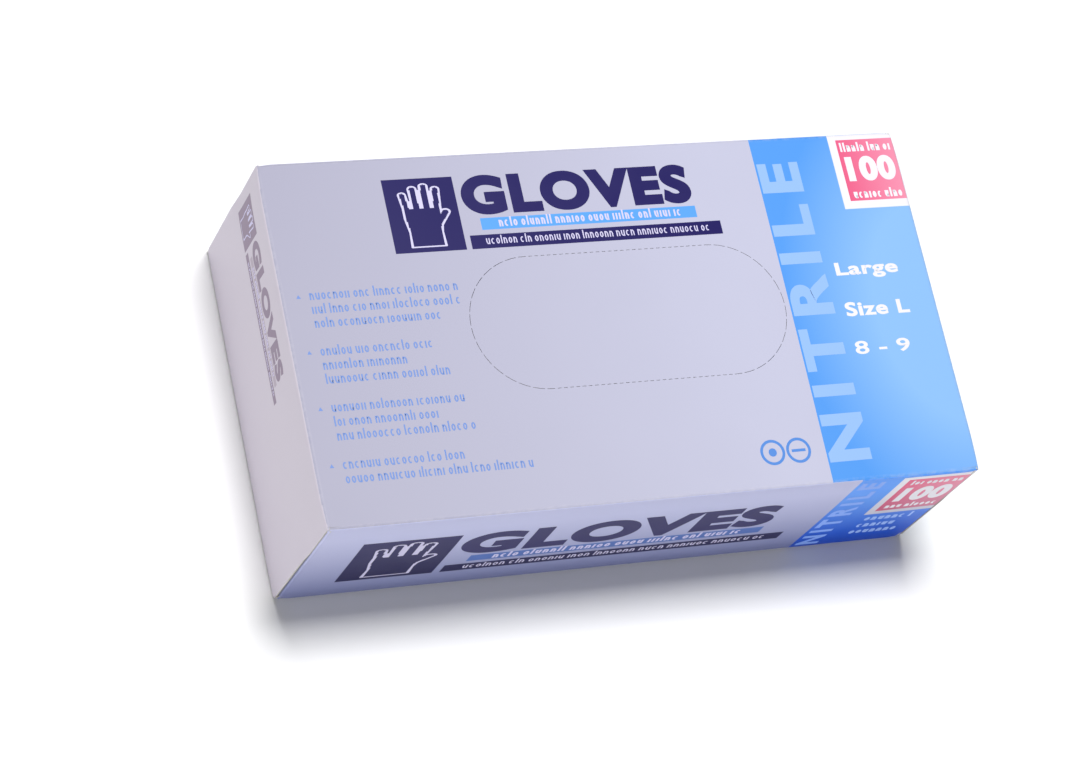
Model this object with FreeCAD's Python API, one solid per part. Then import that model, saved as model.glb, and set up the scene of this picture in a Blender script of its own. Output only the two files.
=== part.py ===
import FreeCAD
import Part
import math
import os

# Dispenser carton for a hundred disposable gloves, lying on its largest face.
# Millimetres. X runs along the long side, Y from the front face to the back face, Z up.
# The origin is the middle of the underside. The oval tear-out cover is in the top face.

# Driving dimensions of the carton
LENGTH = 240.0
WIDTH = 131.0
HEIGHT = 69.0
BOARD = 0.45
FOLD_RADIUS = 0.9
LAYER_GAP = 0.20
HINGE_GAP = 0.20

# Driving dimensions of the tear-out oval: a slot with round ends
OVAL_LENGTH = 116.5
OVAL_WIDTH = 48.5
OVAL_CENTRE = (2.3, 1.3)
CUT_WIDTH = 0.30
TIE_COUNT = 90
TIE_LENGTH = 0.9
TIE_REACH = 0.24

# Driving dimensions of the end flaps
OUTER_SIDE_GAP = 0.4
INNER_SIDE_GAP = 0.8
INNER_HEIGHT = 41.5
DUST_LENGTH = 52.0
DUST_TAPER_DEG = 15.0
DUST_EDGE_GAP = 1.0
FLAP_CORNER = 2.0
DUST_CORNER = 5.0

# Driving dimensions of the glue
SEAM_FLAP_HEIGHT = 16.0
SEAM_END_GAP = 5.0
SEAM_GLUE_MARGIN = 2.0
SEAM_FILM = 0.10
END_GLUE_FILM = 0.15
END_GLUE_SIZE = (28.0, 4.0)
END_GLUE_Y = (-42.0, 0.0, 42.0)
END_GLUE_Z = (12.0, 32.0)

# Driving dimensions of one flattened glove, cuff at -X and fingers at +X
GLOVE_LENGTH = 230.0
GLOVE_THICKNESS = 0.18
GLOVE_PITCH = 0.60
CUFF_HALF = 42.0
WRIST_HALF = 40.0
PALM_HALF = 46.0
WRIST_X = -62.0
KNUCKLE_X = 28.0
BEAD_WIDTH = 1.2
BEAD_HEIGHT = 0.45
FINGERS = (
    ((20.0, -34.5), (91.0, -39.0), 22.5),
    ((20.0, -11.5), (102.5, -13.0), 23.5),
    ((20.0, 11.8), (95.0, 14.0), 23.0),
    ((20.0, 34.8), (75.0, 40.0), 21.0),
    ((-48.0, -24.0), (8.0, -53.0), 25.0),
)
GLOVE_SIDE_SHIFT = 6.5
LAYER_COUNT = 10
GLOVES_PER_LAYER = 10
STACK_FLOOR = 0.85
SHIFT_X = 1.2
SHIFT_Y = 1.0
TURN_DEG = 0.8

# Places worked out from the driving dimensions
HALF_L = LENGTH / 2
HALF_W = WIDTH / 2
INNER_SKIN = HALF_L - BOARD - LAYER_GAP
DUST_SKIN = INNER_SKIN - BOARD - LAYER_GAP
SEAM_SKIN = HALF_W - BOARD - SEAM_FILM
TOP_HALF_L = HALF_L - HINGE_GAP
BOTTOM_HALF_L = INNER_SKIN - HINGE_GAP
SIDE_HALF_L = DUST_SKIN - HINGE_GAP

X_AXIS = FreeCAD.Vector(1, 0, 0)
Y_AXIS = FreeCAD.Vector(0, 1, 0)
Z_AXIS = FreeCAD.Vector(0, 0, 1)
CENTRE = FreeCAD.Vector(0, 0, 0)


# Helpers

def vec(x, y, z):
    return FreeCAD.Vector(x, y, z)


def box(low, high):
    size = [b - a for a, b in zip(low, high)]
    return Part.makeBox(size[0], size[1], size[2], vec(*low))


def prism(corners, push):
    wire = Part.makePolygon(corners + [corners[0]])
    return Part.Face(wire).extrude(push)


def round_edges(solid, direction, radius, wanted):
    """Rounds the straight edges along direction whose middle passes the test wanted."""
    picked = []
    for edge in solid.Edges:
        tangent = edge.tangentAt(edge.FirstParameter)
        along = abs(tangent.dot(direction)) > 0.999
        if along and wanted(edge.CenterOfMass):
            picked.append(edge)
    return solid.makeFillet(radius, picked)


def quarter_fold(half_l, y, z, start_deg):
    """A quarter-round fold of board along X about the line (y, z)."""
    inner_radius = FOLD_RADIUS - BOARD

    def at(radius, degrees):
        angle = math.radians(start_deg + degrees)
        return vec(-half_l, y + radius * math.cos(angle), z + radius * math.sin(angle))

    edges = [
        Part.Arc(at(FOLD_RADIUS, 0), at(FOLD_RADIUS, 45), at(FOLD_RADIUS, 90)).toShape(),
        Part.makeLine(at(FOLD_RADIUS, 90), at(inner_radius, 90)),
        Part.Arc(at(inner_radius, 90), at(inner_radius, 45), at(inner_radius, 0)).toShape(),
        Part.makeLine(at(inner_radius, 0), at(FOLD_RADIUS, 0)),
    ]
    return Part.Face(Part.Wire(edges)).extrude(X_AXIS * (2 * half_l))


def oval(length, width, low_z, high_z):
    """A slot-shaped plate with round ends, centred on the tear-out oval."""
    cx, cy = OVAL_CENTRE
    radius = width / 2
    reach = length / 2 - radius
    depth = high_z - low_z
    middle = box((cx - reach, cy - radius, low_z), (cx + reach, cy + radius, high_z))
    ends = []
    for side in (-1, 1):
        ends.append(Part.makeCylinder(radius, depth, vec(cx + side * reach, cy, low_z)))
    return middle.multiFuse(ends).removeSplitter()


def mirrored(shape):
    """The same piece for the other end of the carton."""
    return shape.mirror(CENTRE, X_AXIS)


# Body panels

def top_panel():
    plate = box((-TOP_HALF_L, -HALF_W + FOLD_RADIUS, HEIGHT - BOARD),
                (TOP_HALF_L, HALF_W - FOLD_RADIUS, HEIGHT))
    hole = oval(OVAL_LENGTH + 2 * CUT_WIDTH, OVAL_WIDTH + 2 * CUT_WIDTH,
                HEIGHT - 2 * BOARD, HEIGHT + BOARD)
    return plate.cut(hole)


def bottom_panel():
    return box((-BOTTOM_HALF_L, -HALF_W + FOLD_RADIUS, 0.0),
               (BOTTOM_HALF_L, SEAM_SKIN - FOLD_RADIUS, BOARD))


def front_panel():
    plate = box((-SIDE_HALF_L, -HALF_W, FOLD_RADIUS),
                (SIDE_HALF_L, -HALF_W + BOARD, HEIGHT - FOLD_RADIUS))
    fold_y = -HALF_W + FOLD_RADIUS
    upper = quarter_fold(SIDE_HALF_L, fold_y, HEIGHT - FOLD_RADIUS, 90)
    lower = quarter_fold(SIDE_HALF_L, fold_y, FOLD_RADIUS, 180)
    return plate.multiFuse([upper, lower])


def back_panel():
    plate = box((-SIDE_HALF_L, HALF_W - BOARD, LAYER_GAP),
                (SIDE_HALF_L, HALF_W, HEIGHT - FOLD_RADIUS))
    fold = quarter_fold(SIDE_HALF_L, HALF_W - FOLD_RADIUS, HEIGHT - FOLD_RADIUS, 0)
    return plate.fuse(fold)


def seam_flap():
    """The narrow flap that the bottom panel turns up inside the back panel, cut short of
    the dust flaps at both ends."""
    half_l = SIDE_HALF_L - SEAM_END_GAP
    plate = box((-half_l, SEAM_SKIN - BOARD, FOLD_RADIUS),
                (half_l, SEAM_SKIN, SEAM_FLAP_HEIGHT))
    fold = quarter_fold(half_l, SEAM_SKIN - FOLD_RADIUS, FOLD_RADIUS, 270)
    return plate.fuse(fold)


def seam_glue():
    half_l = SIDE_HALF_L - SEAM_END_GAP - SEAM_GLUE_MARGIN
    return box((-half_l, SEAM_SKIN, FOLD_RADIUS + SEAM_GLUE_MARGIN),
               (half_l, SEAM_SKIN + SEAM_FILM, SEAM_FLAP_HEIGHT - SEAM_GLUE_MARGIN))


# End flaps, drawn for the right end and mirrored for the left

def outer_flap():
    half = HALF_W - OUTER_SIDE_GAP
    flap = box((HALF_L - BOARD, -half, 2 * LAYER_GAP),
               (HALF_L, half, HEIGHT - BOARD - HINGE_GAP))
    return round_edges(flap, X_AXIS, FLAP_CORNER, lambda p: p.z < HEIGHT / 2)


def inner_flap():
    half = HALF_W - INNER_SIDE_GAP
    flap = box((INNER_SKIN - BOARD, -half, BOARD + HINGE_GAP),
               (INNER_SKIN, half, INNER_HEIGHT))
    return round_edges(flap, X_AXIS, FLAP_CORNER, lambda p: p.z > INNER_HEIGHT / 2)


def dust_flap(side):
    """A tapered flap turned in from the front panel (side -1) or the back panel (1)."""
    root_y = HALF_W - BOARD - HINGE_GAP
    tip_y = root_y - DUST_LENGTH
    taper = DUST_LENGTH * math.tan(math.radians(DUST_TAPER_DEG))
    x = DUST_SKIN - BOARD
    corners = [
        vec(x, side * root_y, DUST_EDGE_GAP),
        vec(x, side * root_y, HEIGHT - DUST_EDGE_GAP),
        vec(x, side * tip_y, HEIGHT - DUST_EDGE_GAP - taper),
        vec(x, side * tip_y, DUST_EDGE_GAP + taper),
    ]
    flap = prism(corners, X_AXIS * BOARD)
    return round_edges(flap, X_AXIS, DUST_CORNER, lambda p: abs(p.y) < abs(tip_y) + 1.0)


def end_glue():
    """Hot-melt patches on the inside of the outer flap, against the inner flap."""
    length, height = END_GLUE_SIZE
    patches = []
    for y in END_GLUE_Y:
        for z in END_GLUE_Z:
            low = (HALF_L - BOARD - END_GLUE_FILM, y - length / 2, z - height / 2)
            high = (HALF_L - BOARD, y + length / 2, z + height / 2)
            patch = box(low, high)
            patches.append(round_edges(patch, X_AXIS, height / 2.5, lambda p: True))
    return Part.makeCompound(patches)


# Tear-out cover and the small ties left uncut round it

def tear_out_cover():
    return oval(OVAL_LENGTH, OVAL_WIDTH, HEIGHT - BOARD, HEIGHT)


def oval_point(distance):
    """The point, and the outward angle in degrees, at a distance round the cover's edge."""
    cx, cy = OVAL_CENTRE
    radius = OVAL_WIDTH / 2
    straight = OVAL_LENGTH - OVAL_WIDTH
    arc = math.pi * radius
    if distance < straight:
        return cx - straight / 2 + distance, cy + radius, 90.0
    distance -= straight
    if distance < arc:
        angle = 90.0 - math.degrees(distance / radius)
        turn = math.radians(angle)
        return cx + straight / 2 + radius * math.cos(turn), cy + radius * math.sin(turn), angle
    distance -= arc
    if distance < straight:
        return cx + straight / 2 - distance, cy - radius, 270.0
    distance -= straight
    angle = 270.0 - math.degrees(distance / radius)
    turn = math.radians(angle)
    return cx - straight / 2 + radius * math.cos(turn), cy + radius * math.sin(turn), angle


def perforation_ties():
    around = 2 * (OVAL_LENGTH - OVAL_WIDTH) + math.pi * OVAL_WIDTH
    ties = []
    for index in range(TIE_COUNT):
        x, y, angle = oval_point(around * (index + 0.5) / TIE_COUNT)
        tie = box((0.0, -TIE_LENGTH / 2, HEIGHT - BOARD), (TIE_REACH, TIE_LENGTH / 2, HEIGHT))
        tie.rotate(CENTRE, Z_AXIS, angle)
        tie.translate(vec(x, y, 0.0))
        ties.append(tie)
    return Part.makeCompound(ties)


# Gloves

def finger(base, tip, width):
    """A finger of the flattened glove: a straight stretch with a round end."""
    along = vec(tip[0] - base[0], tip[1] - base[1], 0.0)
    aside = vec(-along.y, along.x, 0.0).normalize() * (width / 2)
    start = vec(base[0], base[1], 0.0)
    end = start + along
    body = prism([start - aside, end - aside, end + aside, start + aside],
                 Z_AXIS * GLOVE_THICKNESS)
    return body.fuse(Part.makeCylinder(width / 2, GLOVE_THICKNESS, end))


def flat_glove():
    half = GLOVE_LENGTH / 2
    side = [(-half, CUFF_HALF), (WRIST_X, WRIST_HALF), (-10.0, PALM_HALF), (KNUCKLE_X, PALM_HALF)]
    outline = [vec(x, -y, 0.0) for x, y in side] + [vec(x, y, 0.0) for x, y in reversed(side)]
    palm = prism(outline, Z_AXIS * GLOVE_THICKNESS)
    bead = box((-half, -CUFF_HALF, 0.0), (-half + BEAD_WIDTH, CUFF_HALF, BEAD_HEIGHT))
    glove = palm.multiFuse([finger(*sizes) for sizes in FINGERS] + [bead])
    glove = glove.removeSplitter()
    glove.translate(vec(0.0, GLOVE_SIDE_SHIFT, 0.0))
    return glove


def glove_layer(glove, layer):
    """Ten gloves laid flat on each other, turned end for end by turns."""
    gloves = []
    for step in range(GLOVES_PER_LAYER):
        index = layer * GLOVES_PER_LAYER + step
        copy = glove.copy()
        turn = TURN_DEG * math.sin(1.1 * index)
        copy.rotate(CENTRE, Z_AXIS, turn + 180.0 * (index % 2))
        x = SHIFT_X * math.sin(2.4 * index)
        y = SHIFT_Y * math.cos(1.7 * index)
        copy.translate(vec(x, y, STACK_FLOOR + index * GLOVE_PITCH))
        gloves.append(copy)
    return Part.makeCompound(gloves)


def all_parts():
    """Every piece of the carton and its contents, by name."""
    parts = {
        "top_panel": top_panel(),
        "front_panel": front_panel(),
        "bottom_panel": bottom_panel(),
        "back_panel": back_panel(),
        "seam_flap": seam_flap(),
        "seam_glue": seam_glue(),
        "tear_out_cover": tear_out_cover(),
        "perforation_ties": perforation_ties(),
    }
    right_end = {
        "outer_flap": outer_flap(),
        "end_glue": end_glue(),
        "inner_flap": inner_flap(),
        "front_dust_flap": dust_flap(-1),
        "back_dust_flap": dust_flap(1),
    }
    for name, shape in right_end.items():
        parts["right_" + name] = shape
        parts["left_" + name] = mirrored(shape)
    glove = flat_glove()
    for layer in range(LAYER_COUNT):
        parts["glove_layer_%02d" % (layer + 1)] = glove_layer(glove, layer)
    return parts


os.makedirs("parts", exist_ok=True)
for part_name, part_shape in all_parts().items():
    part_shape.exportStep("parts/%s.step" % part_name)
    print(part_name, len(part_shape.Solids), "solids", round(part_shape.Volume, 2), "mm3")
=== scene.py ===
"""Looks of a folding paperboard carton that dispenses disposable gloves.

Lengths in the dataclasses are millimetres; the helpers turn them into the frame's metres.
"""

import logging
import math
import random
from dataclasses import dataclass
from enum import Enum
from typing import Callable, Iterable, Sequence

import bmesh
import bpy
from mathutils import Euler, Matrix, Vector, noise


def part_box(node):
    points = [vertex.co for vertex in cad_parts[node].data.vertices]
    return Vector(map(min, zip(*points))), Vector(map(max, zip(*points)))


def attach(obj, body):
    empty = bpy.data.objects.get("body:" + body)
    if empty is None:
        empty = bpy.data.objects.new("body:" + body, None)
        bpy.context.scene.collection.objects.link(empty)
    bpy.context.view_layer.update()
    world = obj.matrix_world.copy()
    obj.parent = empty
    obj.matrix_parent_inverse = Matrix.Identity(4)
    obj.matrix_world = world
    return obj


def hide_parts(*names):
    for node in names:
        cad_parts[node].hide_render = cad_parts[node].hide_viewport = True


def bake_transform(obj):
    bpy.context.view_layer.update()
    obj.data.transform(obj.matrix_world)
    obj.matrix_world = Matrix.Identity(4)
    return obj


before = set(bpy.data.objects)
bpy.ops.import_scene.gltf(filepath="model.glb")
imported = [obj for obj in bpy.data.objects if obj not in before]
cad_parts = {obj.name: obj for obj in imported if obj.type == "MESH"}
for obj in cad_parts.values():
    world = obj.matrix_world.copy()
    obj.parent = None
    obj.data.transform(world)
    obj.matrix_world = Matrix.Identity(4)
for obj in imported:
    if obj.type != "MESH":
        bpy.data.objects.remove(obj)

logging.basicConfig(level=logging.INFO, format="%(message)s")
LOG = logging.getLogger("glove_box")

MM = 0.001
UP = Vector((0, 0, 1))
UPWARD = 0.72
TOP_PRINT = 3
Colour = tuple[float, float, float]
Socket = bpy.types.NodeSocket


def srgb(red: int, green: int, blue: int) -> Colour:
    """Turns a display colour from 0 to 255 into the linear values that shaders use.

    Args:
        red: Red channel.
        green: Green channel.
        blue: Blue channel.

    Returns:
        The linear colour.
    """
    channels = []
    for value in (red, green, blue):
        share = value / 255
        low = share <= 0.04045
        channels.append(share / 12.92 if low else ((share + 0.055) / 1.055) ** 2.4)
    return tuple(channels)


def unit(value: float) -> float:
    """Holds a number between nought and one."""
    return min(1.0, max(0.0, value))


def shaded(colour: Colour, share: float) -> Colour:
    """The same colour, darker or lighter by a share, and never over full."""
    return tuple(min(1.0, channel * share) for channel in colour)


# Sizes of the carton


@dataclass(frozen=True)
class CartonSizes:
    """Driving sizes of the folded carton, read from the frame where it has them."""

    length: float
    width: float
    height: float
    board: float = 0.45
    long_fold: float = 1.2
    end_fold: float = 1.4
    inner_fold: float = 1.0
    dust_fold: float = 0.6
    layer_step: float = 0.65
    crown: float = 0.5
    ripple: float = 0.09
    side_bulge: float = 0.35
    end_bulge: float = 0.25
    edge_reach: float = 15.0
    edge_lean: tuple[float, float] = (0.12, 0.56)

    @classmethod
    def from_frame(cls) -> "CartonSizes":
        """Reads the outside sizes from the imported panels."""
        low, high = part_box("left_outer_flap")[0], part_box("right_outer_flap")[1]
        top, front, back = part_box("top_panel"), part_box("front_panel"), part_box("back_panel")
        return cls((high[0] - low[0]) / MM, (back[1][1] - front[0][1]) / MM, top[1][2] / MM)

    @property
    def half_l(self) -> float:
        """Half the length."""
        return self.length / 2

    @property
    def half_w(self) -> float:
        """Half the width."""
        return self.width / 2

    def side_swell(self, x: float, z: float) -> float:
        """How far the filled carton pushes its long sides out at a place."""
        flat = max(0.0, math.sin(math.pi * unit(z / self.height)))
        return self.side_bulge * flat * unit(1 - (x / self.dust_skin) ** 4)

    def end_lean(self, y: float, z: float) -> float:
        """How far an end flap stands out, or leans in at its free side edges."""
        share = unit(z / (self.height - self.end_fold))
        bulge = self.end_bulge * unit(1 - (y / self.half_w) ** 2) * math.sin(math.pi * share)
        edge = unit((abs(y) - 50.0) / self.edge_reach)
        high = unit((z - 36.0) / 10.0)
        return bulge - edge * edge * (self.edge_lean[0] + self.edge_lean[1] * high)

    @property
    def inner_skin(self) -> float:
        """Where the outside of an inner end flap lies along X."""
        return self.half_l - self.layer_step

    @property
    def dust_skin(self) -> float:
        """Where the outside of a dust flap lies along X."""
        return self.half_l - 2 * self.layer_step

    def rise(self, x: float, y: float) -> float:
        """How far the filled carton pushes its top panel up at a place.

        Args:
            x: Place along the carton.
            y: Place across the carton.

        Returns:
            The rise, which is nothing along the folds.
        """
        across = unit(1 - (y / self.half_w) ** 2)
        along = unit(1 - (x / self.half_l) ** 4)
        ripple = self.ripple * noise.noise(Vector((x / 46, y / 38, 1.7)))
        return (self.crown + ripple) * across * along

    def swollen(self, spot: Vector) -> Vector:
        """A point of the flat top panel, lifted to where the filled carton pushes it."""
        return Vector((spot.x, spot.y, self.height + self.rise(spot.x, spot.y)))


@dataclass(frozen=True)
class OvalSizes:
    """The tear-out oval: a slot with round ends, and the cut round it."""

    length: float = 116.5
    width: float = 48.5
    centre_x: float = 2.3
    centre_y: float = 1.3
    cut: float = 0.16
    ties: int = 90
    straight_steps: int = 64
    round_steps: int = 32

    @property
    def steps(self) -> int:
        """How many points go round the oval."""
        return 2 * (self.straight_steps + self.round_steps)

    def point(self, step: float, grow: float = 0.0) -> Vector:
        """A point of the edge, counted anticlockwise from the right end of the far straight.

        Args:
            step: Number of the point; fractions lie between points.
            grow: How far outside the cover's own edge it lies.

        Returns:
            The point, at height nought.
        """
        radius = self.width / 2
        reach = self.length / 2 - radius
        step %= self.steps
        side = 1.0
        if step >= self.steps / 2:
            step -= self.steps / 2
            side = -1.0
        if step < self.straight_steps:
            share = step / self.straight_steps
            spot = Vector((reach * (1 - 2 * share), radius + grow, 0))
        else:
            turn = math.pi * (0.5 + (step - self.straight_steps) / self.round_steps)
            spot = Vector((-reach + (radius + grow) * math.cos(turn),
                           (radius + grow) * math.sin(turn), 0))
        return Vector((self.centre_x + side * spot.x, self.centre_y + side * spot.y, 0))

    def loop(self, bm: bmesh.types.BMesh,
             rule: Callable[[int], Vector]) -> list[bmesh.types.BMVert]:
        """Adds a closed loop of as many points as go round the oval.

        Args:
            bm: The mesh to add to.
            rule: Gives the place of each point from its number.

        Returns:
            The loop's points, in order.
        """
        made = bmesh.ops.create_circle(bm, segments=self.steps, radius=1.0)["verts"]
        ring = sorted(made, key=lambda v: math.atan2(v.co.y, v.co.x) % math.tau)
        for step, vert in enumerate(ring):
            vert.co = rule(step)
        return ring


class Named(Enum):
    """A place whose name is part of piece names."""

    @property
    def word(self) -> str:
        """The name in piece names."""
        return self.name.lower()


class End(Named):
    """The two ends of the carton, with the sign of X there."""

    LEFT = -1
    RIGHT = 1


class Side(Named):
    """The two long sides of the carton, with the sign of Y there."""

    FRONT = -1
    BACK = 1


class Face(Enum):
    """A printed face: which axis runs right, which runs up, and which way it looks."""

    TOP = ((1, 0, 0), (0, 1, 0), (0, 0, 1))
    FRONT = ((1, 0, 0), (0, 0, 1), (0, -1, 0))
    BACK = ((-1, 0, 0), (0, 0, 1), (0, 1, 0))
    LEFT_END = ((0, -1, 0), (0, 0, 1), (-1, 0, 0))
    RIGHT_END = ((0, 1, 0), (0, 0, 1), (1, 0, 0))
    BOTTOM = ((1, 0, 0), (0, -1, 0), (0, 0, -1))

    def matrix(self, sizes: CartonSizes) -> Matrix:
        """Where the face's own right, up and out axes lie in the frame, in millimetres."""
        right, up, out = (Vector(axis) for axis in self.value)
        reach = Vector((sizes.half_l, sizes.half_w, sizes.height / 2))
        if self is Face.TOP:
            start = Vector((0, 0, sizes.height))
        elif self is Face.BOTTOM:
            start = Vector()
        else:
            start = Vector(out[i] * reach[i] for i in range(3))
        turned = Matrix((right, up, out)).transposed().to_4x4()
        return Matrix.Translation(start) @ turned


# Mesh helpers


def thicken(bm: bmesh.types.BMesh, thickness: float, inner: int = 1, edge: int = 2) -> None:
    """Gives an open skin a second face inside it and walls round its rim.

    Args:
        bm: The skin, facing outwards.
        thickness: Distance to the inner face.
        inner: Material index of the inner face.
        edge: Material index of the rim.
    """
    bm.normal_update()
    skin = list(bm.faces)
    made = bmesh.ops.extrude_face_region(bm, geom=skin, use_keep_orig=True)["geom"]
    copies = [item for item in made if isinstance(item, bmesh.types.BMVert)]
    lining = {item for item in made if isinstance(item, bmesh.types.BMFace)}
    bm.normal_update()
    pushes = [(vert, vert.normal.copy()) for vert in copies]
    for vert, normal in pushes:
        vert.co -= normal * thickness
    for face in set(bm.faces) - set(skin):
        face.material_index = inner if face in lining else edge
    bmesh.ops.recalc_face_normals(bm, faces=list(bm.faces))


def face_out(bm: bmesh.types.BMesh, out: Vector) -> None:
    """Turns an open skin so that most of it looks a given way."""
    bmesh.ops.recalc_face_normals(bm, faces=list(bm.faces))
    bm.normal_update()
    if sum(face.normal.dot(out) * face.calc_area() for face in bm.faces) < 0:
        bmesh.ops.reverse_faces(bm, faces=list(bm.faces))


def carry_print(bm: bmesh.types.BMesh) -> None:
    """Gives the upward half of a fold the top panel's print."""
    bm.normal_update()
    for face in bm.faces:
        if face.normal.z > UPWARD:
            face.material_index = TOP_PRINT


def faces_of(verts: Iterable[bmesh.types.BMVert]) -> list[bmesh.types.BMFace]:
    """The faces that touch any of some points."""
    return list({face for vert in verts for face in vert.link_faces})


def place(vectors: Iterable[bmesh.types.BMVert], rule: Callable[[Vector], Vector]) -> None:
    """Moves each vertex to where a rule puts it.

    Args:
        vectors: The vertices.
        rule: Gives a new place for an old one.
    """
    for vert in vectors:
        vert.co = rule(vert.co)


def finish_piece(bm: bmesh.types.BMesh, name: str, materials: Sequence[bpy.types.Material],
                 smooth_degrees: float = 40.0) -> bpy.types.Object:
    """Turns a bmesh in millimetres into a piece of the scene.

    Args:
        bm: The mesh, which is freed.
        name: The piece's name.
        materials: Its materials, in index order.
        smooth_degrees: Edges flatter than this are smooth.

    Returns:
        The new object, at the origin.
    """
    bmesh.ops.scale(bm, vec=(MM, MM, MM), verts=list(bm.verts))
    bm.normal_update()
    for face in bm.faces:
        face.smooth = True
    limit = math.radians(smooth_degrees)
    for edge in bm.edges:
        edge.smooth = len(edge.link_faces) == 2 and edge.calc_face_angle(math.pi) < limit
    mesh = bpy.data.meshes.new(name)
    bm.to_mesh(mesh)
    bm.free()
    for material in materials:
        mesh.materials.append(material)
    piece = bpy.data.objects.new(name, mesh)
    bpy.context.scene.collection.objects.link(piece)
    LOG.info("%s: %d faces", name, len(mesh.polygons))
    return piece


@dataclass(frozen=True)
class FoldedPath:
    """The outside line of a bent sheet: flat runs joined by round folds, as (points, radii)."""

    corners: tuple[tuple[float, float], ...]
    radii: tuple[float, ...]
    fold_steps: int = 8
    flat_steps: int = 14

    def points(self) -> list[Vector]:
        """The line's points, with each corner rounded to its radius."""
        line = [Vector(corner) for corner in self.corners]
        spots: list[Vector] = []
        for index, corner in enumerate(line):
            radius = self.radii[index]
            if index in (0, len(line) - 1) or radius == 0:
                spots.append(corner)
                continue
            before = (line[index - 1] - corner).normalized()
            after = (line[index + 1] - corner).normalized()
            half = before.angle(after) / 2
            reach = radius / math.tan(half)
            middle = corner + (before + after).normalized() * (radius / math.sin(half))
            start = corner + before * reach - middle
            turn = corner + after * reach - middle
            angle = math.atan2(start.x * turn.y - start.y * turn.x, start.dot(turn))
            for step in range(self.fold_steps + 1):
                at = angle * step / self.fold_steps
                spots.append(middle + Vector((start.x * math.cos(at) - start.y * math.sin(at),
                                              start.x * math.sin(at) + start.y * math.cos(at))))
        return self._divided(spots)

    def _divided(self, spots: list[Vector]) -> list[Vector]:
        """Adds points along the long runs."""
        full: list[Vector] = [spots[0]]
        for before, after in zip(spots, spots[1:]):
            count = self.flat_steps if (after - before).length > 5.0 else 1
            for step in range(1, count + 1):
                full.append(before.lerp(after, step / count))
        return full


def folded_sheet(path: FoldedPath, low: float, high: float, steps: int,
                 put: Callable[[Vector, float], Vector]) -> bmesh.types.BMesh:
    """A sheet whose cross-section is a folded path, drawn out along a straight line.

    Args:
        path: The cross-section.
        low: Where the sheet starts along the line.
        high: Where it ends.
        steps: How many faces there are along the line.
        put: Turns a point of the path and a place along the line into a point in space.

    Returns:
        The open skin.
    """
    rows = path.points()
    bm = bmesh.new()
    bmesh.ops.create_grid(bm, x_segments=steps, y_segments=len(rows) - 1, size=1.0)
    last = len(rows) - 1

    def rule(spot: Vector) -> Vector:
        """Puts a point of the unit grid on the drawn-out path."""
        row = rows[round((spot.y + 1) / 2 * last)]
        return put(row, low + (high - low) * (spot.x + 1) / 2)

    place(bm.verts, rule)
    return bm


# Shader helpers and shared effects


class Nodes:
    """A short way to write a node tree."""

    def __init__(self, tree: bpy.types.NodeTree) -> None:
        """Keeps the tree to add to."""
        self.tree = tree

    def add(self, kind: str, links: dict | None = None, **settings: object) -> bpy.types.Node:
        """Adds a node.

        Args:
            kind: The node's type name.
            links: Input name or number to a value, or to the socket that feeds it.
            **settings: Properties of the node.

        Returns:
            The node.
        """
        node = self.tree.nodes.new(kind)
        for key, value in settings.items():
            setattr(node, key, value)
        for key, value in (links or {}).items():
            if isinstance(value, bpy.types.NodeSocket):
                self.tree.links.new(value, node.inputs[key])
            else:
                node.inputs[key].default_value = value
        return node

    def math(self, operation: str, *values: "Socket | float", clamp: bool = False) -> Socket:
        """Adds a Math node and returns its output."""
        links = dict(enumerate(values))
        return self.add("ShaderNodeMath", links, operation=operation, use_clamp=clamp).outputs[0]

    def mix(self, share: "Socket | float", first: "Socket | Colour",
            second: "Socket | Colour") -> Socket:
        """Mixes two colours by a share and returns the result."""
        wide = [(*c, 1.0) if isinstance(c, tuple) and len(c) == 3 else c for c in (first, second)]
        node = self.add("ShaderNodeMix", {0: share, 6: wide[0], 7: wide[1]}, data_type="RGBA")
        return node.outputs[2]

    def dress(self, shader: bpy.types.Node, colour: Socket, height: Socket, strength: float,
              distance: float, **plain: "float | Colour") -> None:
        """Feeds a shader its colour and bump, and sets its plain sockets.

        Args:
            shader: The Principled shader.
            colour: The socket for its base colour.
            height: The socket for the bump's height.
            strength: The bump's strength.
            distance: The bump's depth in metres.
            **plain: Values of other sockets, with _ for a space in the name.
        """
        bump = self.add("ShaderNodeBump", {"Height": height, "Strength": strength,
                                           "Distance": distance})
        self.tree.links.new(colour, shader.inputs["Base Color"])
        self.tree.links.new(bump.outputs[0], shader.inputs["Normal"])
        for name, value in plain.items():
            shader.inputs[name.replace("_", " ")].default_value = value

    def noise(self, vector: Socket, scale: float, detail: float = 2.0,
              rough: float = 0.5) -> Socket:
        """Adds a noise texture and returns its value."""
        node = self.add("ShaderNodeTexNoise", {"Vector": vector, "Scale": scale,
                                               "Detail": detail, "Roughness": rough})
        return node.outputs["Fac"]


class Group(Enum):
    """The shared effects."""

    RECTANGLE = "printed_rectangle"
    GRAIN = "paper_grain"
    WEAR = "fold_wear"
    BAND = "band_fade"


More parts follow.
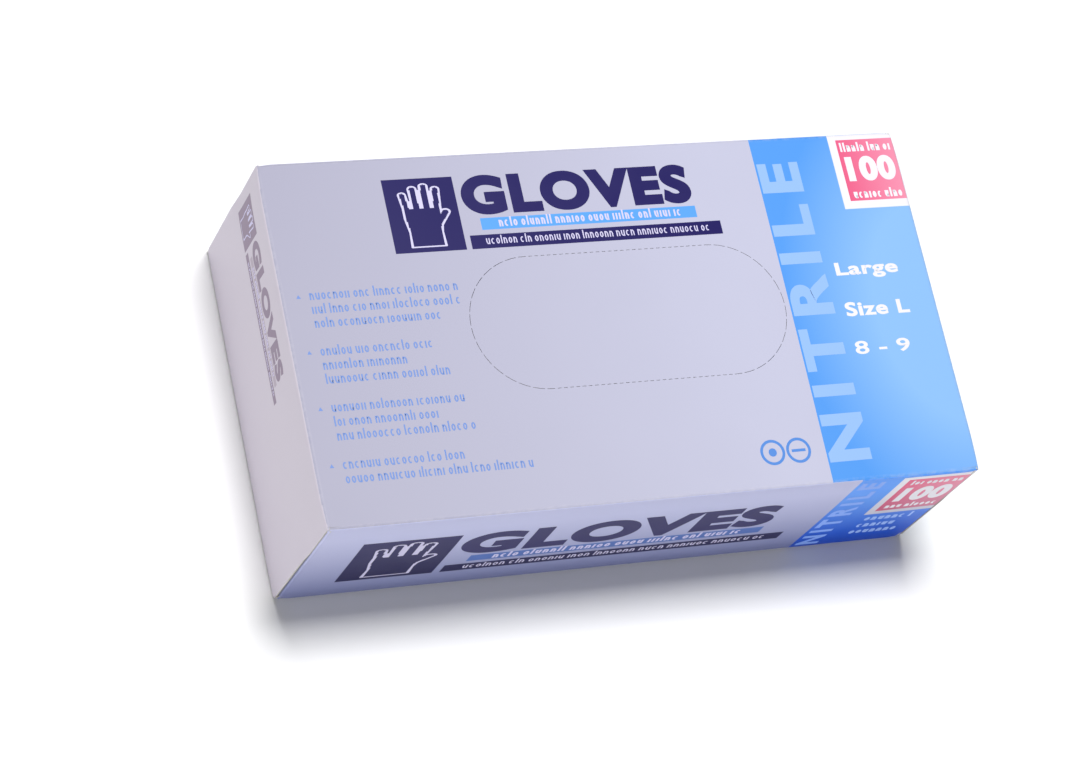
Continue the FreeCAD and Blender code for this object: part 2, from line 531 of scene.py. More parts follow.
def new_group(name: str, inputs: dict[str, tuple[str, float]],
              outputs: dict[str, str]) -> tuple[bpy.types.NodeTree, Nodes, dict, bpy.types.Node]:
    """Starts a shader node group.

    Args:
        name: The group's name.
        inputs: Input name to its socket type and default.
        outputs: Output name to its socket type.

    Returns:
        The tree, its node writer, its input sockets by name and its output node.
    """
    tree = bpy.data.node_groups.new(name, "ShaderNodeTree")
    for label, (kind, default) in inputs.items():
        socket = tree.interface.new_socket(label, in_out="INPUT", socket_type=kind)
        if kind == "NodeSocketFloat":
            socket.default_value = default
    for label, kind in outputs.items():
        tree.interface.new_socket(label, in_out="OUTPUT", socket_type=kind)
    writer = Nodes(tree)
    start = writer.add("NodeGroupInput")
    end = writer.add("NodeGroupOutput")
    return tree, writer, {label: start.outputs[label] for label in inputs}, end


def rectangle_group() -> bpy.types.NodeTree:
    """Builds the group that masks an upright rectangle with crisp printed edges."""
    numbers = ("U", "V", "Left", "Right", "Bottom", "Top")
    inputs = {label: ("NodeSocketFloat", 0.0) for label in numbers}
    inputs["Softness"] = ("NodeSocketFloat", 0.00008)
    tree, w, given, end = new_group(Group.RECTANGLE.value, inputs, {"Mask": "NodeSocketFloat"})
    sides = []
    for low, high in (("Left", "U"), ("U", "Right"), ("Bottom", "V"), ("V", "Top")):
        depth = w.math("DIVIDE", w.math("SUBTRACT", given[high], given[low]), given["Softness"])
        sides.append(w.math("ADD", depth, 0.5, clamp=True))
    first = w.math("MULTIPLY", sides[0], sides[1])
    second = w.math("MULTIPLY", sides[2], sides[3])
    tree.links.new(w.math("MULTIPLY", first, second), end.inputs["Mask"])
    return tree


def grain_group() -> bpy.types.NodeTree:
    """Builds the group for paper: fine fibres, a faint mottle and a height for bump."""
    inputs = {"Vector": ("NodeSocketVector", 0.0), "Fibre Scale": ("NodeSocketFloat", 900.0),
              "Mottle Scale": ("NodeSocketFloat", 30.0)}
    outputs = {"Height": "NodeSocketFloat", "Mottle": "NodeSocketFloat"}
    tree, w, given, end = new_group(Group.GRAIN.value, inputs, outputs)
    stretched = w.add("ShaderNodeMapping", {"Vector": given["Vector"], "Scale": (0.35, 1.0, 1.0)})
    fibre = w.add("ShaderNodeTexNoise", {"Vector": stretched.outputs[0],
                                         "Scale": given["Fibre Scale"], "Detail": 3.0})
    cloud = w.add("ShaderNodeTexNoise", {"Vector": given["Vector"],
                                         "Scale": given["Mottle Scale"], "Detail": 2.0})
    height = w.math("ADD", fibre.outputs["Fac"], w.math("MULTIPLY", cloud.outputs["Fac"], 1.5))
    tree.links.new(height, end.inputs["Height"])
    tree.links.new(cloud.outputs["Fac"], end.inputs["Mottle"])
    return tree


def wear_group(sizes: CartonSizes) -> bpy.types.NodeTree:
    """Builds the group that finds the carton's folds and breaks the mask up as rubbing does."""
    inputs = {"Vector": ("NodeSocketVector", 0.0), "Width": ("NodeSocketFloat", 0.002),
              "Amount": ("NodeSocketFloat", 0.5)}
    tree, w, given, end = new_group(Group.WEAR.value, inputs, {"Mask": "NodeSocketFloat"})
    split = w.add("ShaderNodeSeparateXYZ", {0: given["Vector"]})
    raised = w.math("SUBTRACT", split.outputs[2], sizes.height / 2 * MM)
    near = []
    for place_, half in ((split.outputs[0], sizes.half_l), (split.outputs[1], sizes.half_w),
                         (raised, sizes.height / 2)):
        gap = w.math("SUBTRACT", half * MM, w.math("ABSOLUTE", place_))
        near.append(w.math("SUBTRACT", 1.0, w.math("DIVIDE", gap, given["Width"]), clamp=True))
    pairs = [w.math("MULTIPLY", near[a], near[b]) for a, b in ((0, 1), (1, 2), (2, 0))]
    edge = w.math("MAXIMUM", w.math("MAXIMUM", pairs[0], pairs[1]), pairs[2])
    scuff = w.noise(given["Vector"], 420.0, 4.0, 0.7)
    broken = w.math("MULTIPLY", w.math("SUBTRACT", scuff, 0.42), 6.0, clamp=True)
    worn = w.math("MULTIPLY", w.math("MULTIPLY", edge, broken), given["Amount"], clamp=True)
    tree.links.new(worn, end.inputs["Mask"])
    return tree


def band_group() -> bpy.types.NodeTree:
    """Builds the group for the colour band's soft printed fade, an oval glow at its outer side."""
    names = ("U", "V", "Centre V", "Reach U", "Reach V")
    inputs = {label: ("NodeSocketFloat", 0.06) for label in names}
    tree, w, given, end = new_group(Group.BAND.value, inputs, {"Fade": "NodeSocketFloat"})
    along = w.math("DIVIDE", w.math("SUBTRACT", given["U"], 0.125), given["Reach U"])
    across = w.math("DIVIDE", w.math("SUBTRACT", given["V"], given["Centre V"]),
                    given["Reach V"])
    square = w.math("ADD", w.math("MULTIPLY", along, along), w.math("MULTIPLY", across, across))
    away = w.math("SUBTRACT", 1.05, w.math("SQRT", square))
    tree.links.new(w.math("DIVIDE", away, 0.55, clamp=True), end.inputs["Fade"])
    return tree


class Effects:
    """The shared shader groups, built once."""

    def __init__(self, sizes: CartonSizes) -> None:
        """Builds every group."""
        self.trees = {
            Group.RECTANGLE: rectangle_group(),
            Group.GRAIN: grain_group(),
            Group.WEAR: wear_group(sizes),
            Group.BAND: band_group(),
        }

    def use(self, writer: Nodes, group: Group, links: dict) -> bpy.types.Node:
        """Places a group in a material.

        Args:
            writer: The material's node writer.
            group: Which effect.
            links: Its inputs.

        Returns:
            The group node.
        """
        return writer.add("ShaderNodeGroup", links, node_tree=self.trees[group])


def blank_material(name: str) -> tuple[bpy.types.Material, Nodes, bpy.types.Node]:
    """Starts a material with one Principled shader.

    Args:
        name: The material's name.

    Returns:
        The material, its node writer and its shader node.
    """
    material = bpy.data.materials.new(name)
    material.use_nodes = True
    shader = material.node_tree.nodes["Principled BSDF"]
    return material, Nodes(material.node_tree), shader


# Finishes


@dataclass(frozen=True)
class Palette:
    """Ink and board colours."""

    lavender: Colour = srgb(191, 192, 214)
    side_lavender: Colour = srgb(194, 197, 232)
    warm_white: Colour = srgb(204, 197, 210)
    navy: Colour = srgb(24, 16, 88)
    sky: Colour = srgb(88, 158, 232)
    band_dark: Colour = srgb(82, 150, 230)
    band_light: Colour = srgb(136, 183, 237)
    side_band_dark: Colour = srgb(6, 112, 254)
    side_band_light: Colour = srgb(88, 158, 254)
    band_word: Colour = srgb(146, 184, 238)
    side_word: Colour = srgb(134, 172, 250)
    side_lines: Colour = srgb(158, 190, 248)
    white: Colour = srgb(232, 230, 238)
    pink: Colour = srgb(224, 92, 132)
    pink_light: Colour = srgb(232, 140, 168)
    pale_ink: Colour = srgb(112, 142, 206)
    mid_blue: Colour = srgb(84, 136, 212)
    # Painted reflection: the end's navy ink, lightened as glare washes it out.
    glare_washed_navy: Colour = srgb(140, 124, 146)
    core: Colour = srgb(198, 194, 188)
    inside: Colour = srgb(198, 190, 178)
    glue: Colour = srgb(232, 222, 190)
    # Painted light and shade: nitrile is the glove's blue in shade, the next one its blue in
    # light.
    nitrile: Colour = srgb(72, 148, 244)
    nitrile_light: Colour = srgb(118, 186, 252)


PALETTE = Palette()


@dataclass(frozen=True)
class Patch:
    """A rectangle of ink on a face, in the face's millimetres, X right and Y up."""

    left: float
    right: float
    bottom: float
    top: float
    colour: Colour
    second: Colour | None = None


@dataclass(frozen=True)
class Band:
    """The colour band at one end of a face, with its fade."""

    start: float
    dark: Colour
    light: Colour
    toward: float = 1.0
    centre_v: float = -0.005
    reach_u: float = 0.060
    reach_v: float = 0.085


@dataclass(frozen=True)
class PrintedBoard:
    """Coated board printed on one face of the carton."""

    name: str
    face: Face
    ground: Colour
    patches: tuple[Patch, ...] = ()
    band: Band | None = None
    # Painted shade: how far the face darkens toward its bottom.
    low_painted_shade: float = 0.0
    # Painted shade: how far the face darkens toward its left end.
    left_painted_shade: float = 0.0
    # The colour that the painted shade at the bottom multiplies toward.
    shade: Colour = (0.36, 0.39, 0.52)

    def build(self, effects: Effects) -> bpy.types.Material:
        """Builds the material from the shared groups."""
        material, w, shader = blank_material(self.name)
        spot = w.add("ShaderNodeTexCoord").outputs["Object"]
        u, v = self._flat_place(w, spot)
        grain = effects.use(w, Group.GRAIN, {"Vector": spot})
        mottle = w.math("MULTIPLY", w.math("SUBTRACT", grain.outputs["Mottle"], 0.5), 0.22)
        colour = w.mix(w.math("ADD", mottle, 0.62, clamp=True), shaded(self.ground, 0.86),
                       shaded(self.ground, 1.03))
        # Painted shade: the colour darkens toward the left end of the face, where the light falls
        # off.
        if self.left_painted_shade:
            left = w.math("SUBTRACT", 1.0, w.math("MULTIPLY", w.math("ADD", u, 0.12), 6.0,
                                                  clamp=True))
            dim = tuple(c * f for c, f in zip(self.ground, (0.72, 0.70, 0.71)))
            colour = w.mix(w.math("MULTIPLY", left, self.left_painted_shade), colour, dim)
        if self.band is not None:
            out = w.math("MULTIPLY", u, self.band.toward)
            fade = effects.use(w, Group.BAND, {"U": out, "V": v, "Centre V": self.band.centre_v,
                                               "Reach U": self.band.reach_u,
                                               "Reach V": self.band.reach_v}).outputs["Fade"]
            band = w.mix(fade, self.band.dark, self.band.light)
            colour = self._over(w, effects, out, v, colour, band,
                                Patch(self.band.start, 200, -200, 200, self.band.dark))
        for patch in self.patches:
            ink = (*patch.colour, 1.0)
            if patch.second is not None:
                share = w.math("MULTIPLY", w.math("SUBTRACT", u, patch.left * MM),
                               1 / ((patch.right - patch.left) * MM), clamp=True)
                ink = w.mix(share, patch.colour, patch.second)
            colour = self._over(w, effects, u, v, colour, ink, patch)
        # Painted shade: the colour darkens toward the bottom of the face, as the shade near the
        # floor would make it.
        if self.low_painted_shade:
            low = w.math("MULTIPLY", w.math("SUBTRACT", 0.058, v), 18.5, clamp=True)
            shade = w.add("ShaderNodeMix", {0: w.math("MULTIPLY", low, self.low_painted_shade),
                                            6: colour, 7: (*self.shade, 1.0)},
                          data_type="RGBA", blend_type="MULTIPLY")
            colour = shade.outputs[2]
        wear = effects.use(w, Group.WEAR, {"Vector": spot, "Width": 0.0016, "Amount": 0.25})
        colour = w.mix(wear.outputs["Mask"], colour, srgb(222, 219, 224))
        rough = w.math("ADD", 0.36, w.math("MULTIPLY", grain.outputs["Mottle"], 0.12))
        w.tree.links.new(rough, shader.inputs["Roughness"])
        w.dress(shader, colour, grain.outputs["Height"], 0.10, 0.00006,
                Specular_IOR_Level=0.18)
        return material

    def _flat_place(self, w: Nodes, spot: Socket) -> tuple[Socket, Socket]:
        """The face's own right and up places, from the Object coordinates."""
        split = w.add("ShaderNodeSeparateXYZ", {0: spot})
        found = []
        for axis in self.face.value[:2]:
            index = next(i for i in range(3) if axis[i])
            found.append(w.math("MULTIPLY", split.outputs[index], float(axis[index])))
        return found[0], found[1]

    def _over(self, w: Nodes, effects: Effects, u: Socket, v: Socket, below: Socket,
              ink: "Socket | Colour", patch: Patch) -> Socket:
        """Prints one patch over what is there and returns the colour."""
        sides = {"U": u, "V": v, "Left": patch.left * MM, "Right": patch.right * MM,
                 "Bottom": patch.bottom * MM, "Top": patch.top * MM}
        mask = effects.use(w, Group.RECTANGLE, sides).outputs["Mask"]
        return w.mix(mask, below, ink)


@dataclass(frozen=True)
class PlainBoard:
    """Uncoated board: the back of the sheet, or its cut edge."""

    name: str
    colour: Colour
    fleck: float = 0.18

    def build(self, effects: Effects) -> bpy.types.Material:
        """Builds the material from the shared groups."""
        material, w, shader = blank_material(self.name)
        spot = w.add("ShaderNodeTexCoord").outputs["Object"]
        grain = effects.use(w, Group.GRAIN, {"Vector": spot, "Fibre Scale": 1400.0,
                                             "Mottle Scale": 80.0})
        flecks = w.math("GREATER_THAN", w.noise(spot, 1900.0, 1.0), 0.68)
        pulp = w.mix(grain.outputs["Mottle"], shaded(self.colour, 0.82), self.colour)
        colour = w.mix(w.math("MULTIPLY", flecks, self.fleck), pulp, shaded(self.colour, 0.5))
        w.dress(shader, colour, grain.outputs["Height"], 0.35, 0.0001, Roughness=0.88,
                Specular_IOR_Level=0.25)
        return material


@dataclass(frozen=True)
class Ink:
    """Solid ink on the coated board."""

    name: str
    colour: Colour
    strength: float = 0.985

    def build(self, effects: Effects) -> bpy.types.Material:
        """Builds the material: flat colour, broken a little by the paper under it."""
        material, w, shader = blank_material(self.name)
        spot = w.add("ShaderNodeTexCoord").outputs["Object"]
        grain = effects.use(w, Group.GRAIN, {"Vector": spot, "Mottle Scale": 120.0})
        thin = tuple(c * self.strength + (1 - self.strength) * 0.6 for c in self.colour)
        colour = w.mix(grain.outputs["Mottle"], self.colour, thin)
        w.dress(shader, colour, grain.outputs["Height"], 0.08, 0.00005, Roughness=0.42,
                Specular_IOR_Level=0.16)
        return material


@dataclass(frozen=True)
class Nitrile:
    """Thin nitrile rubber: a soft sheen, finely textured, with painted light and shade in noise
    blotches of a lit and a shaded blue.
    """

    name: str = "nitrile_film"

    def build(self) -> bpy.types.Material:
        """Builds the material."""
        material, w, shader = blank_material(self.name)
        spot = w.add("ShaderNodeTexCoord").outputs["Object"]
        # Painted light and shade: noise mixes the shaded blue with the lit blue in blotches.
        cloud = w.noise(spot, 55.0, 3.0, 0.55)
        share = w.math("MULTIPLY", w.math("SUBTRACT", cloud, 0.25), 1.6, clamp=True)
        colour = w.mix(share, PALETTE.nitrile, PALETTE.nitrile_light)
        fine = w.noise(spot, 2600.0, 2.0)
        crease = w.noise(spot, 260.0, 4.0, 0.6)
        height = w.math("ADD", fine, w.math("MULTIPLY", crease, 6.0))
        rough = w.math("ADD", 0.34, w.math("MULTIPLY", crease, 0.2))
        w.tree.links.new(rough, shader.inputs["Roughness"])
        w.dress(shader, colour, height, 0.4, 0.00012, Sheen_Weight=0.15,
                Subsurface_Weight=0.12, Subsurface_Radius=(0.0004, 0.0008, 0.0016))
        return material


@dataclass(frozen=True)
class HotMelt:
    """Set hot-melt glue: cream, waxy, slightly clear."""

    name: str = "hot_melt"

    def build(self) -> bpy.types.Material:
        """Builds the material."""
        material, w, shader = blank_material(self.name)
        spot = w.add("ShaderNodeTexCoord").outputs["Object"]
        cloud = w.noise(spot, 400.0, 2.0)
        colour = w.mix(cloud, shaded(PALETTE.glue, 0.8), PALETTE.glue)
        w.dress(shader, colour, cloud, 0.3, 0.0002, Roughness=0.3, Subsurface_Weight=0.2,
                Subsurface_Radius=(0.001, 0.001, 0.0006))
        return material


@dataclass(frozen=True)
class LogoPlace:
    """How the title block, drawn once for the top face, is set on a face.

    A point (x, y) of the block lands at (shift_x + scale * x, shift_y + scale * y).
    """

    shift_x: float
    shift_y: float
    scale: float

    def point(self, x: float, y: float) -> tuple[float, float]:
        """Where a point of the block lands."""
        return self.shift_x + self.scale * x, self.shift_y + self.scale * y

    def patch(self, left: float, right: float, bottom: float, top: float,
              colour: Colour) -> Patch:
        """A block rectangle as a patch of the face."""
        low, high = self.point(left, bottom), self.point(right, top)
        return Patch(low[0], high[0], low[1], high[1], colour)


@dataclass(frozen=True)
class TitleBlock:
    """The printed title: a square for the pictogram, a word and two bars under it."""

    place: LogoPlace
    dark: Colour
    bright: Colour

    def patches(self) -> tuple[Patch, ...]:
        """The block's rectangles."""
        return (
            self.place.patch(-77.0, -51.5, 29.5, 57.0, self.dark),
            self.place.patch(-44.5, 35.8, 36.4, 40.8, self.bright),
            self.place.patch(-49.5, 44.0, 29.5, 34.6, self.dark),
        )


TOP_TITLE = TitleBlock(LogoPlace(0.0, 0.0, 1.0), PALETTE.navy, PALETTE.sky)
SIDE_TITLE = TitleBlock(LogoPlace(3.4, -26.2, 1.37), PALETTE.navy, srgb(92, 130, 206))
BACK_TITLE = TitleBlock(LogoPlace(38.0, -26.2, 1.37), PALETTE.navy, srgb(92, 130, 206))
# The end's title inks are painted reflection: navy and sky lightened to mauve tones as glare
# washes them out.
END_TITLE = TitleBlock(LogoPlace(-14.9, 24.7, 0.587), PALETTE.glare_washed_navy, srgb(176, 164, 180))


LABEL_RIM = 3.0


def side_band(toward: float) -> Band:
    """The colour band of a long side, at the end that the sign names."""
    return Band(74.0, PALETTE.side_band_dark, PALETTE.side_band_light, toward, 0.075, 0.2, 0.062)


def count_label(left: float, right: float, bottom: float, top: float, rim: float) -> tuple:
    """The white-rimmed pink label that carries the count."""
    return (
        Patch(left, right, bottom, top, PALETTE.white),
        Patch(left + rim, right - 0.6, bottom + rim, top - 0.8 * rim, PALETTE.pink,
              PALETTE.pink_light),
    )


class Finishes:
    """Every material of the object, built once."""

    def __init__(self, sizes: CartonSizes) -> None:
        """Builds the shared groups and the materials."""
        self.effects = Effects(sizes)
        side = PALETTE.side_lavender
        label = (31.0, 67.2, LABEL_RIM)
        boards = (
            PrintedBoard("print_top", Face.TOP, PALETTE.lavender, TOP_TITLE.patches()
                         + count_label(93.5, 119.9, 36.0, 65.5, LABEL_RIM),
                         Band(62.5, PALETTE.band_dark, PALETTE.band_light), left_painted_shade=1.0),
            # The last 1.0 of each long side is its painted shade toward the bottom.
            PrintedBoard("print_front", Face.FRONT, side, SIDE_TITLE.patches()
                         + count_label(91.0, 119.9, *label), side_band(1.0), 1.0),
            PrintedBoard("print_back", Face.BACK, side, BACK_TITLE.patches()
                         + count_label(-119.9, -91.0, *label), side_band(-1.0), 1.0),
            PrintedBoard("print_left_end", Face.LEFT_END, PALETTE.warm_white,
                         END_TITLE.patches()),
            PrintedBoard("print_right_end", Face.RIGHT_END, PALETTE.band_light),
            PrintedBoard("print_bottom", Face.BOTTOM, side),
        )
        self.printed = {board.face: board.build(self.effects) for board in boards}
        self.inside = PlainBoard("board_inside", PALETTE.inside).build(self.effects)
        self.core = PlainBoard("board_core", PALETTE.core, 0.3).build(self.effects)
        self.nitrile = Nitrile().build()
        self.glue = HotMelt().build()
        self._inks: dict[str, bpy.types.Material] = {}

    def board(self, face: Face, folded_from_top: bool = False) -> list[bpy.types.Material]:
        """Printed face, inside, cut edge and, past a fold, the top's print, in index order."""
        more = [self.printed[Face.TOP]] if folded_from_top else []
        return [self.printed[face], self.inside, self.core, *more]

    @property
    def lining(self) -> list[bpy.types.Material]:
        """Outside, inside and edge of a flap with no print on it."""
        return self.board(Face.BOTTOM)

    def ink(self, name: str, colour: Colour) -> bpy.types.Material:
        """An ink by name, built when it is first asked for."""
        if name not in self._inks:
            self._inks[name] = Ink("ink_" + name, colour).build(self.effects)
        return self._inks[name]


# The carton's panels


@dataclass
class CartonBody:
    """The panels that stay joined when the end flaps open."""

    sizes: CartonSizes
    oval: OvalSizes
    finishes: Finishes
    body: str = "carton"

    def build(self) -> None:
        """Builds and places every fixed panel."""
        self._keep(self.top_panel(), "top_panel")
        self._keep(self.side_panel(Side.FRONT), "front_panel")
        self._keep(self.side_panel(Side.BACK), "back_panel")
        self._keep(self.bottom_panel(), "bottom_panel")
        self._keep(self.seam_flap(), "seam_flap")

    def _keep(self, piece: bpy.types.Object, node: str) -> None:
        """Lets a piece stand for its frame node."""
        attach(piece, self.body)
        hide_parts(node)

    def top_panel(self) -> bpy.types.Object:
        """The top panel: a ring of faces between the oval hole and the panel's rim."""
        s, oval = self.sizes, self.oval
        half_x = s.half_l - s.end_fold
        half_y = s.half_w - s.long_fold
        bm = bmesh.new()
        oval.loop(bm, lambda step: oval.point(step, oval.cut))
        oval.loop(bm, lambda step: self._rim_point(step, half_x, half_y))
        edges = list(bm.edges)
        bmesh.ops.bridge_loops(bm, edges=edges)
        spokes = [edge for edge in bm.edges if edge not in set(edges)]
        bmesh.ops.subdivide_edges(bm, edges=spokes, cuts=17, use_grid_fill=True)
        face_out(bm, UP)
        place(bm.verts, s.swollen)
        thicken(bm, s.board)
        return finish_piece(bm, "top_panel_sheet", self.finishes.board(Face.TOP))

    def _rim_point(self, step: int, half_x: float, half_y: float) -> Vector:
        """A point of the panel's rim that faces the oval's point of the same number."""
        oval = self.oval
        side, rest = 1.0, step
        if rest >= oval.steps // 2:
            rest -= oval.steps // 2
            side = -1.0
        if rest < oval.straight_steps:
            share = rest / oval.straight_steps
            return Vector((side * half_x * (1 - 2 * share), side * half_y, 0))
        share = (rest - oval.straight_steps) / oval.round_steps
        return Vector((-side * half_x, side * half_y * (1 - 2 * share), 0))

    def side_panel(self, side: Side) -> bpy.types.Object:
        """A long side with its round folds to the top and, in front, to the bottom."""
        s, sign = self.sizes, side.value
        skin = sign * s.half_w
        top = (skin - sign * s.long_fold, s.height)
        if side is Side.FRONT:
            path = FoldedPath((top, (skin, s.height), (skin, 0.0), (skin - sign * s.long_fold, 0)),
                              (0, s.long_fold, s.long_fold, 0))
        else:
            path = FoldedPath((top, (skin, s.height), (skin, 0.25)), (0, s.long_fold, 0))
        reach = s.dust_skin - s.dust_fold

        def put(row: Vector, along: float) -> Vector:
            """Puts a point of the cross-section in place, tucked in at the corners."""
            near_end = max(0.0, abs(along) - reach + 3.9) / 3.9
            in_fold = row.y > s.height - s.long_fold or row.y < s.long_fold
            tuck = 0.28 if in_fold and near_end > 0.99 else 0.0
            x = math.copysign(reach - 3.9 * (1 - near_end ** 0.15) if near_end > 0
                              else abs(along), along)
            x += math.copysign(3.6 * tuck, along) if tuck else 0.0
            centre = 1.0 if row.y < s.height / 2 else -1.0
            return Vector((x, row.x + sign * s.side_swell(x, row.y) - sign * tuck,
                           row.y + centre * tuck))

        bm = folded_sheet(path, -reach, reach, 60, put)
        face_out(bm, Vector((0, sign, 0)))
        carry_print(bm)
        thicken(bm, s.board)
        face = Face.FRONT if side is Side.FRONT else Face.BACK
        return finish_piece(bm, side.word + "_panel_sheet", self.finishes.board(face, True))

    def bottom_panel(self) -> bpy.types.Object:
        """The flat bottom panel, printed side down."""
        s = self.sizes
        half_x = s.inner_skin - s.inner_fold
        low_y = -s.half_w + s.long_fold
        high_y = s.half_w - s.board - 0.1 - s.long_fold
        bm = bmesh.new()
        bmesh.ops.create_grid(bm, x_segments=24, y_segments=12, size=1.0)
        place(bm.verts, lambda c: Vector((c.x * half_x, low_y + (high_y - low_y) * (c.y + 1) / 2,
                                          0.0)))
        face_out(bm, Vector((0, 0, -1)))
        thicken(bm, s.board)
        return finish_piece(bm, "bottom_panel_sheet", self.finishes.board(Face.BOTTOM))

    def seam_flap(self) -> bpy.types.Object:
        """The narrow flap glued inside the back panel, with its fold to the bottom."""
        s = self.sizes
        skin = s.half_w - s.board - 0.1
        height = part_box("seam_flap")[1][2] / MM
        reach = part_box("seam_flap")[1][0] / MM
        path = FoldedPath(((skin - s.long_fold, 0.0), (skin, 0.0), (skin, height)),
                          (0, s.long_fold, 0), flat_steps=4)
        bm = folded_sheet(path, -reach, reach, 40, lambda row, along: Vector((along, *row)))
        face_out(bm, Vector((0, 1, -0.2)))
        thicken(bm, s.board)
        inside = self.finishes.inside
        return finish_piece(bm, "seam_flap_sheet", [inside, inside, self.finishes.core])


@dataclass
class TearOutCover:
    """The oval cover and the nicks that hold it in the top panel."""

    sizes: CartonSizes
    oval: OvalSizes
    finishes: Finishes
    body: str = "tear_out_cover"
    tie_length: float = 0.95

    def build(self) -> None:
        """Builds the cover and its ties."""
        cover = self.cover()
        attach(cover, self.body)
        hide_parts("tear_out_cover")
        ties = self.ties()
        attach(ties, self.body)
        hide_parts("perforation_ties")

    def cover(self) -> bpy.types.Object:
        """The cover: rings inside the cut edge, closed by a strip along the middle."""
        s, oval = self.sizes, self.oval
        bm = bmesh.new()
        oval.loop(bm, oval.point)
        inner = set(oval.loop(bm, lambda step: oval.point(step, 0.4 - oval.width / 2)))
        loops = list(bm.edges)
        spine = [edge for edge in loops if edge.verts[0] in inner]
        bmesh.ops.bridge_loops(bm, edges=loops)
        spokes = [edge for edge in bm.edges if edge not in set(loops)]
        bmesh.ops.contextual_create(bm, geom=spine)
        bmesh.ops.subdivide_edges(bm, edges=spokes, cuts=7, use_grid_fill=True)
        face_out(bm, UP)
        place(bm.verts, s.swollen)
        thicken(bm, s.board)
        return finish_piece(bm, "tear_out_cover_sheet", self.finishes.board(Face.TOP))

    def ties(self) -> bpy.types.Object:
        """The uncut nicks, each as thick as the board."""
        s, oval = self.sizes, self.oval
        bm = bmesh.new()
        for index in range(oval.ties):
            step = oval.steps * (index + 0.5) / oval.ties
            inner, outer = oval.point(step, -0.04), oval.point(step, oval.cut + 0.02)
            across = (outer - inner).normalized()
            along = Vector((-across.y, across.x, 0))
            made = bmesh.ops.create_cube(bm, size=1.0)["verts"]
            middle = (inner + outer) / 2
            lift = s.height + s.rise(middle.x, middle.y) - s.board / 2
            depth = (outer - inner).length
            for vert in made:
                c = vert.co
                vert.co = (middle + across * (c.x * depth) + along * (c.y * self.tie_length)
                           + Vector((0, 0, lift + c.z * (s.board - 0.02))))
        return finish_piece(bm, "perforation_nicks", [self.finishes.printed[Face.TOP]])


# End flaps


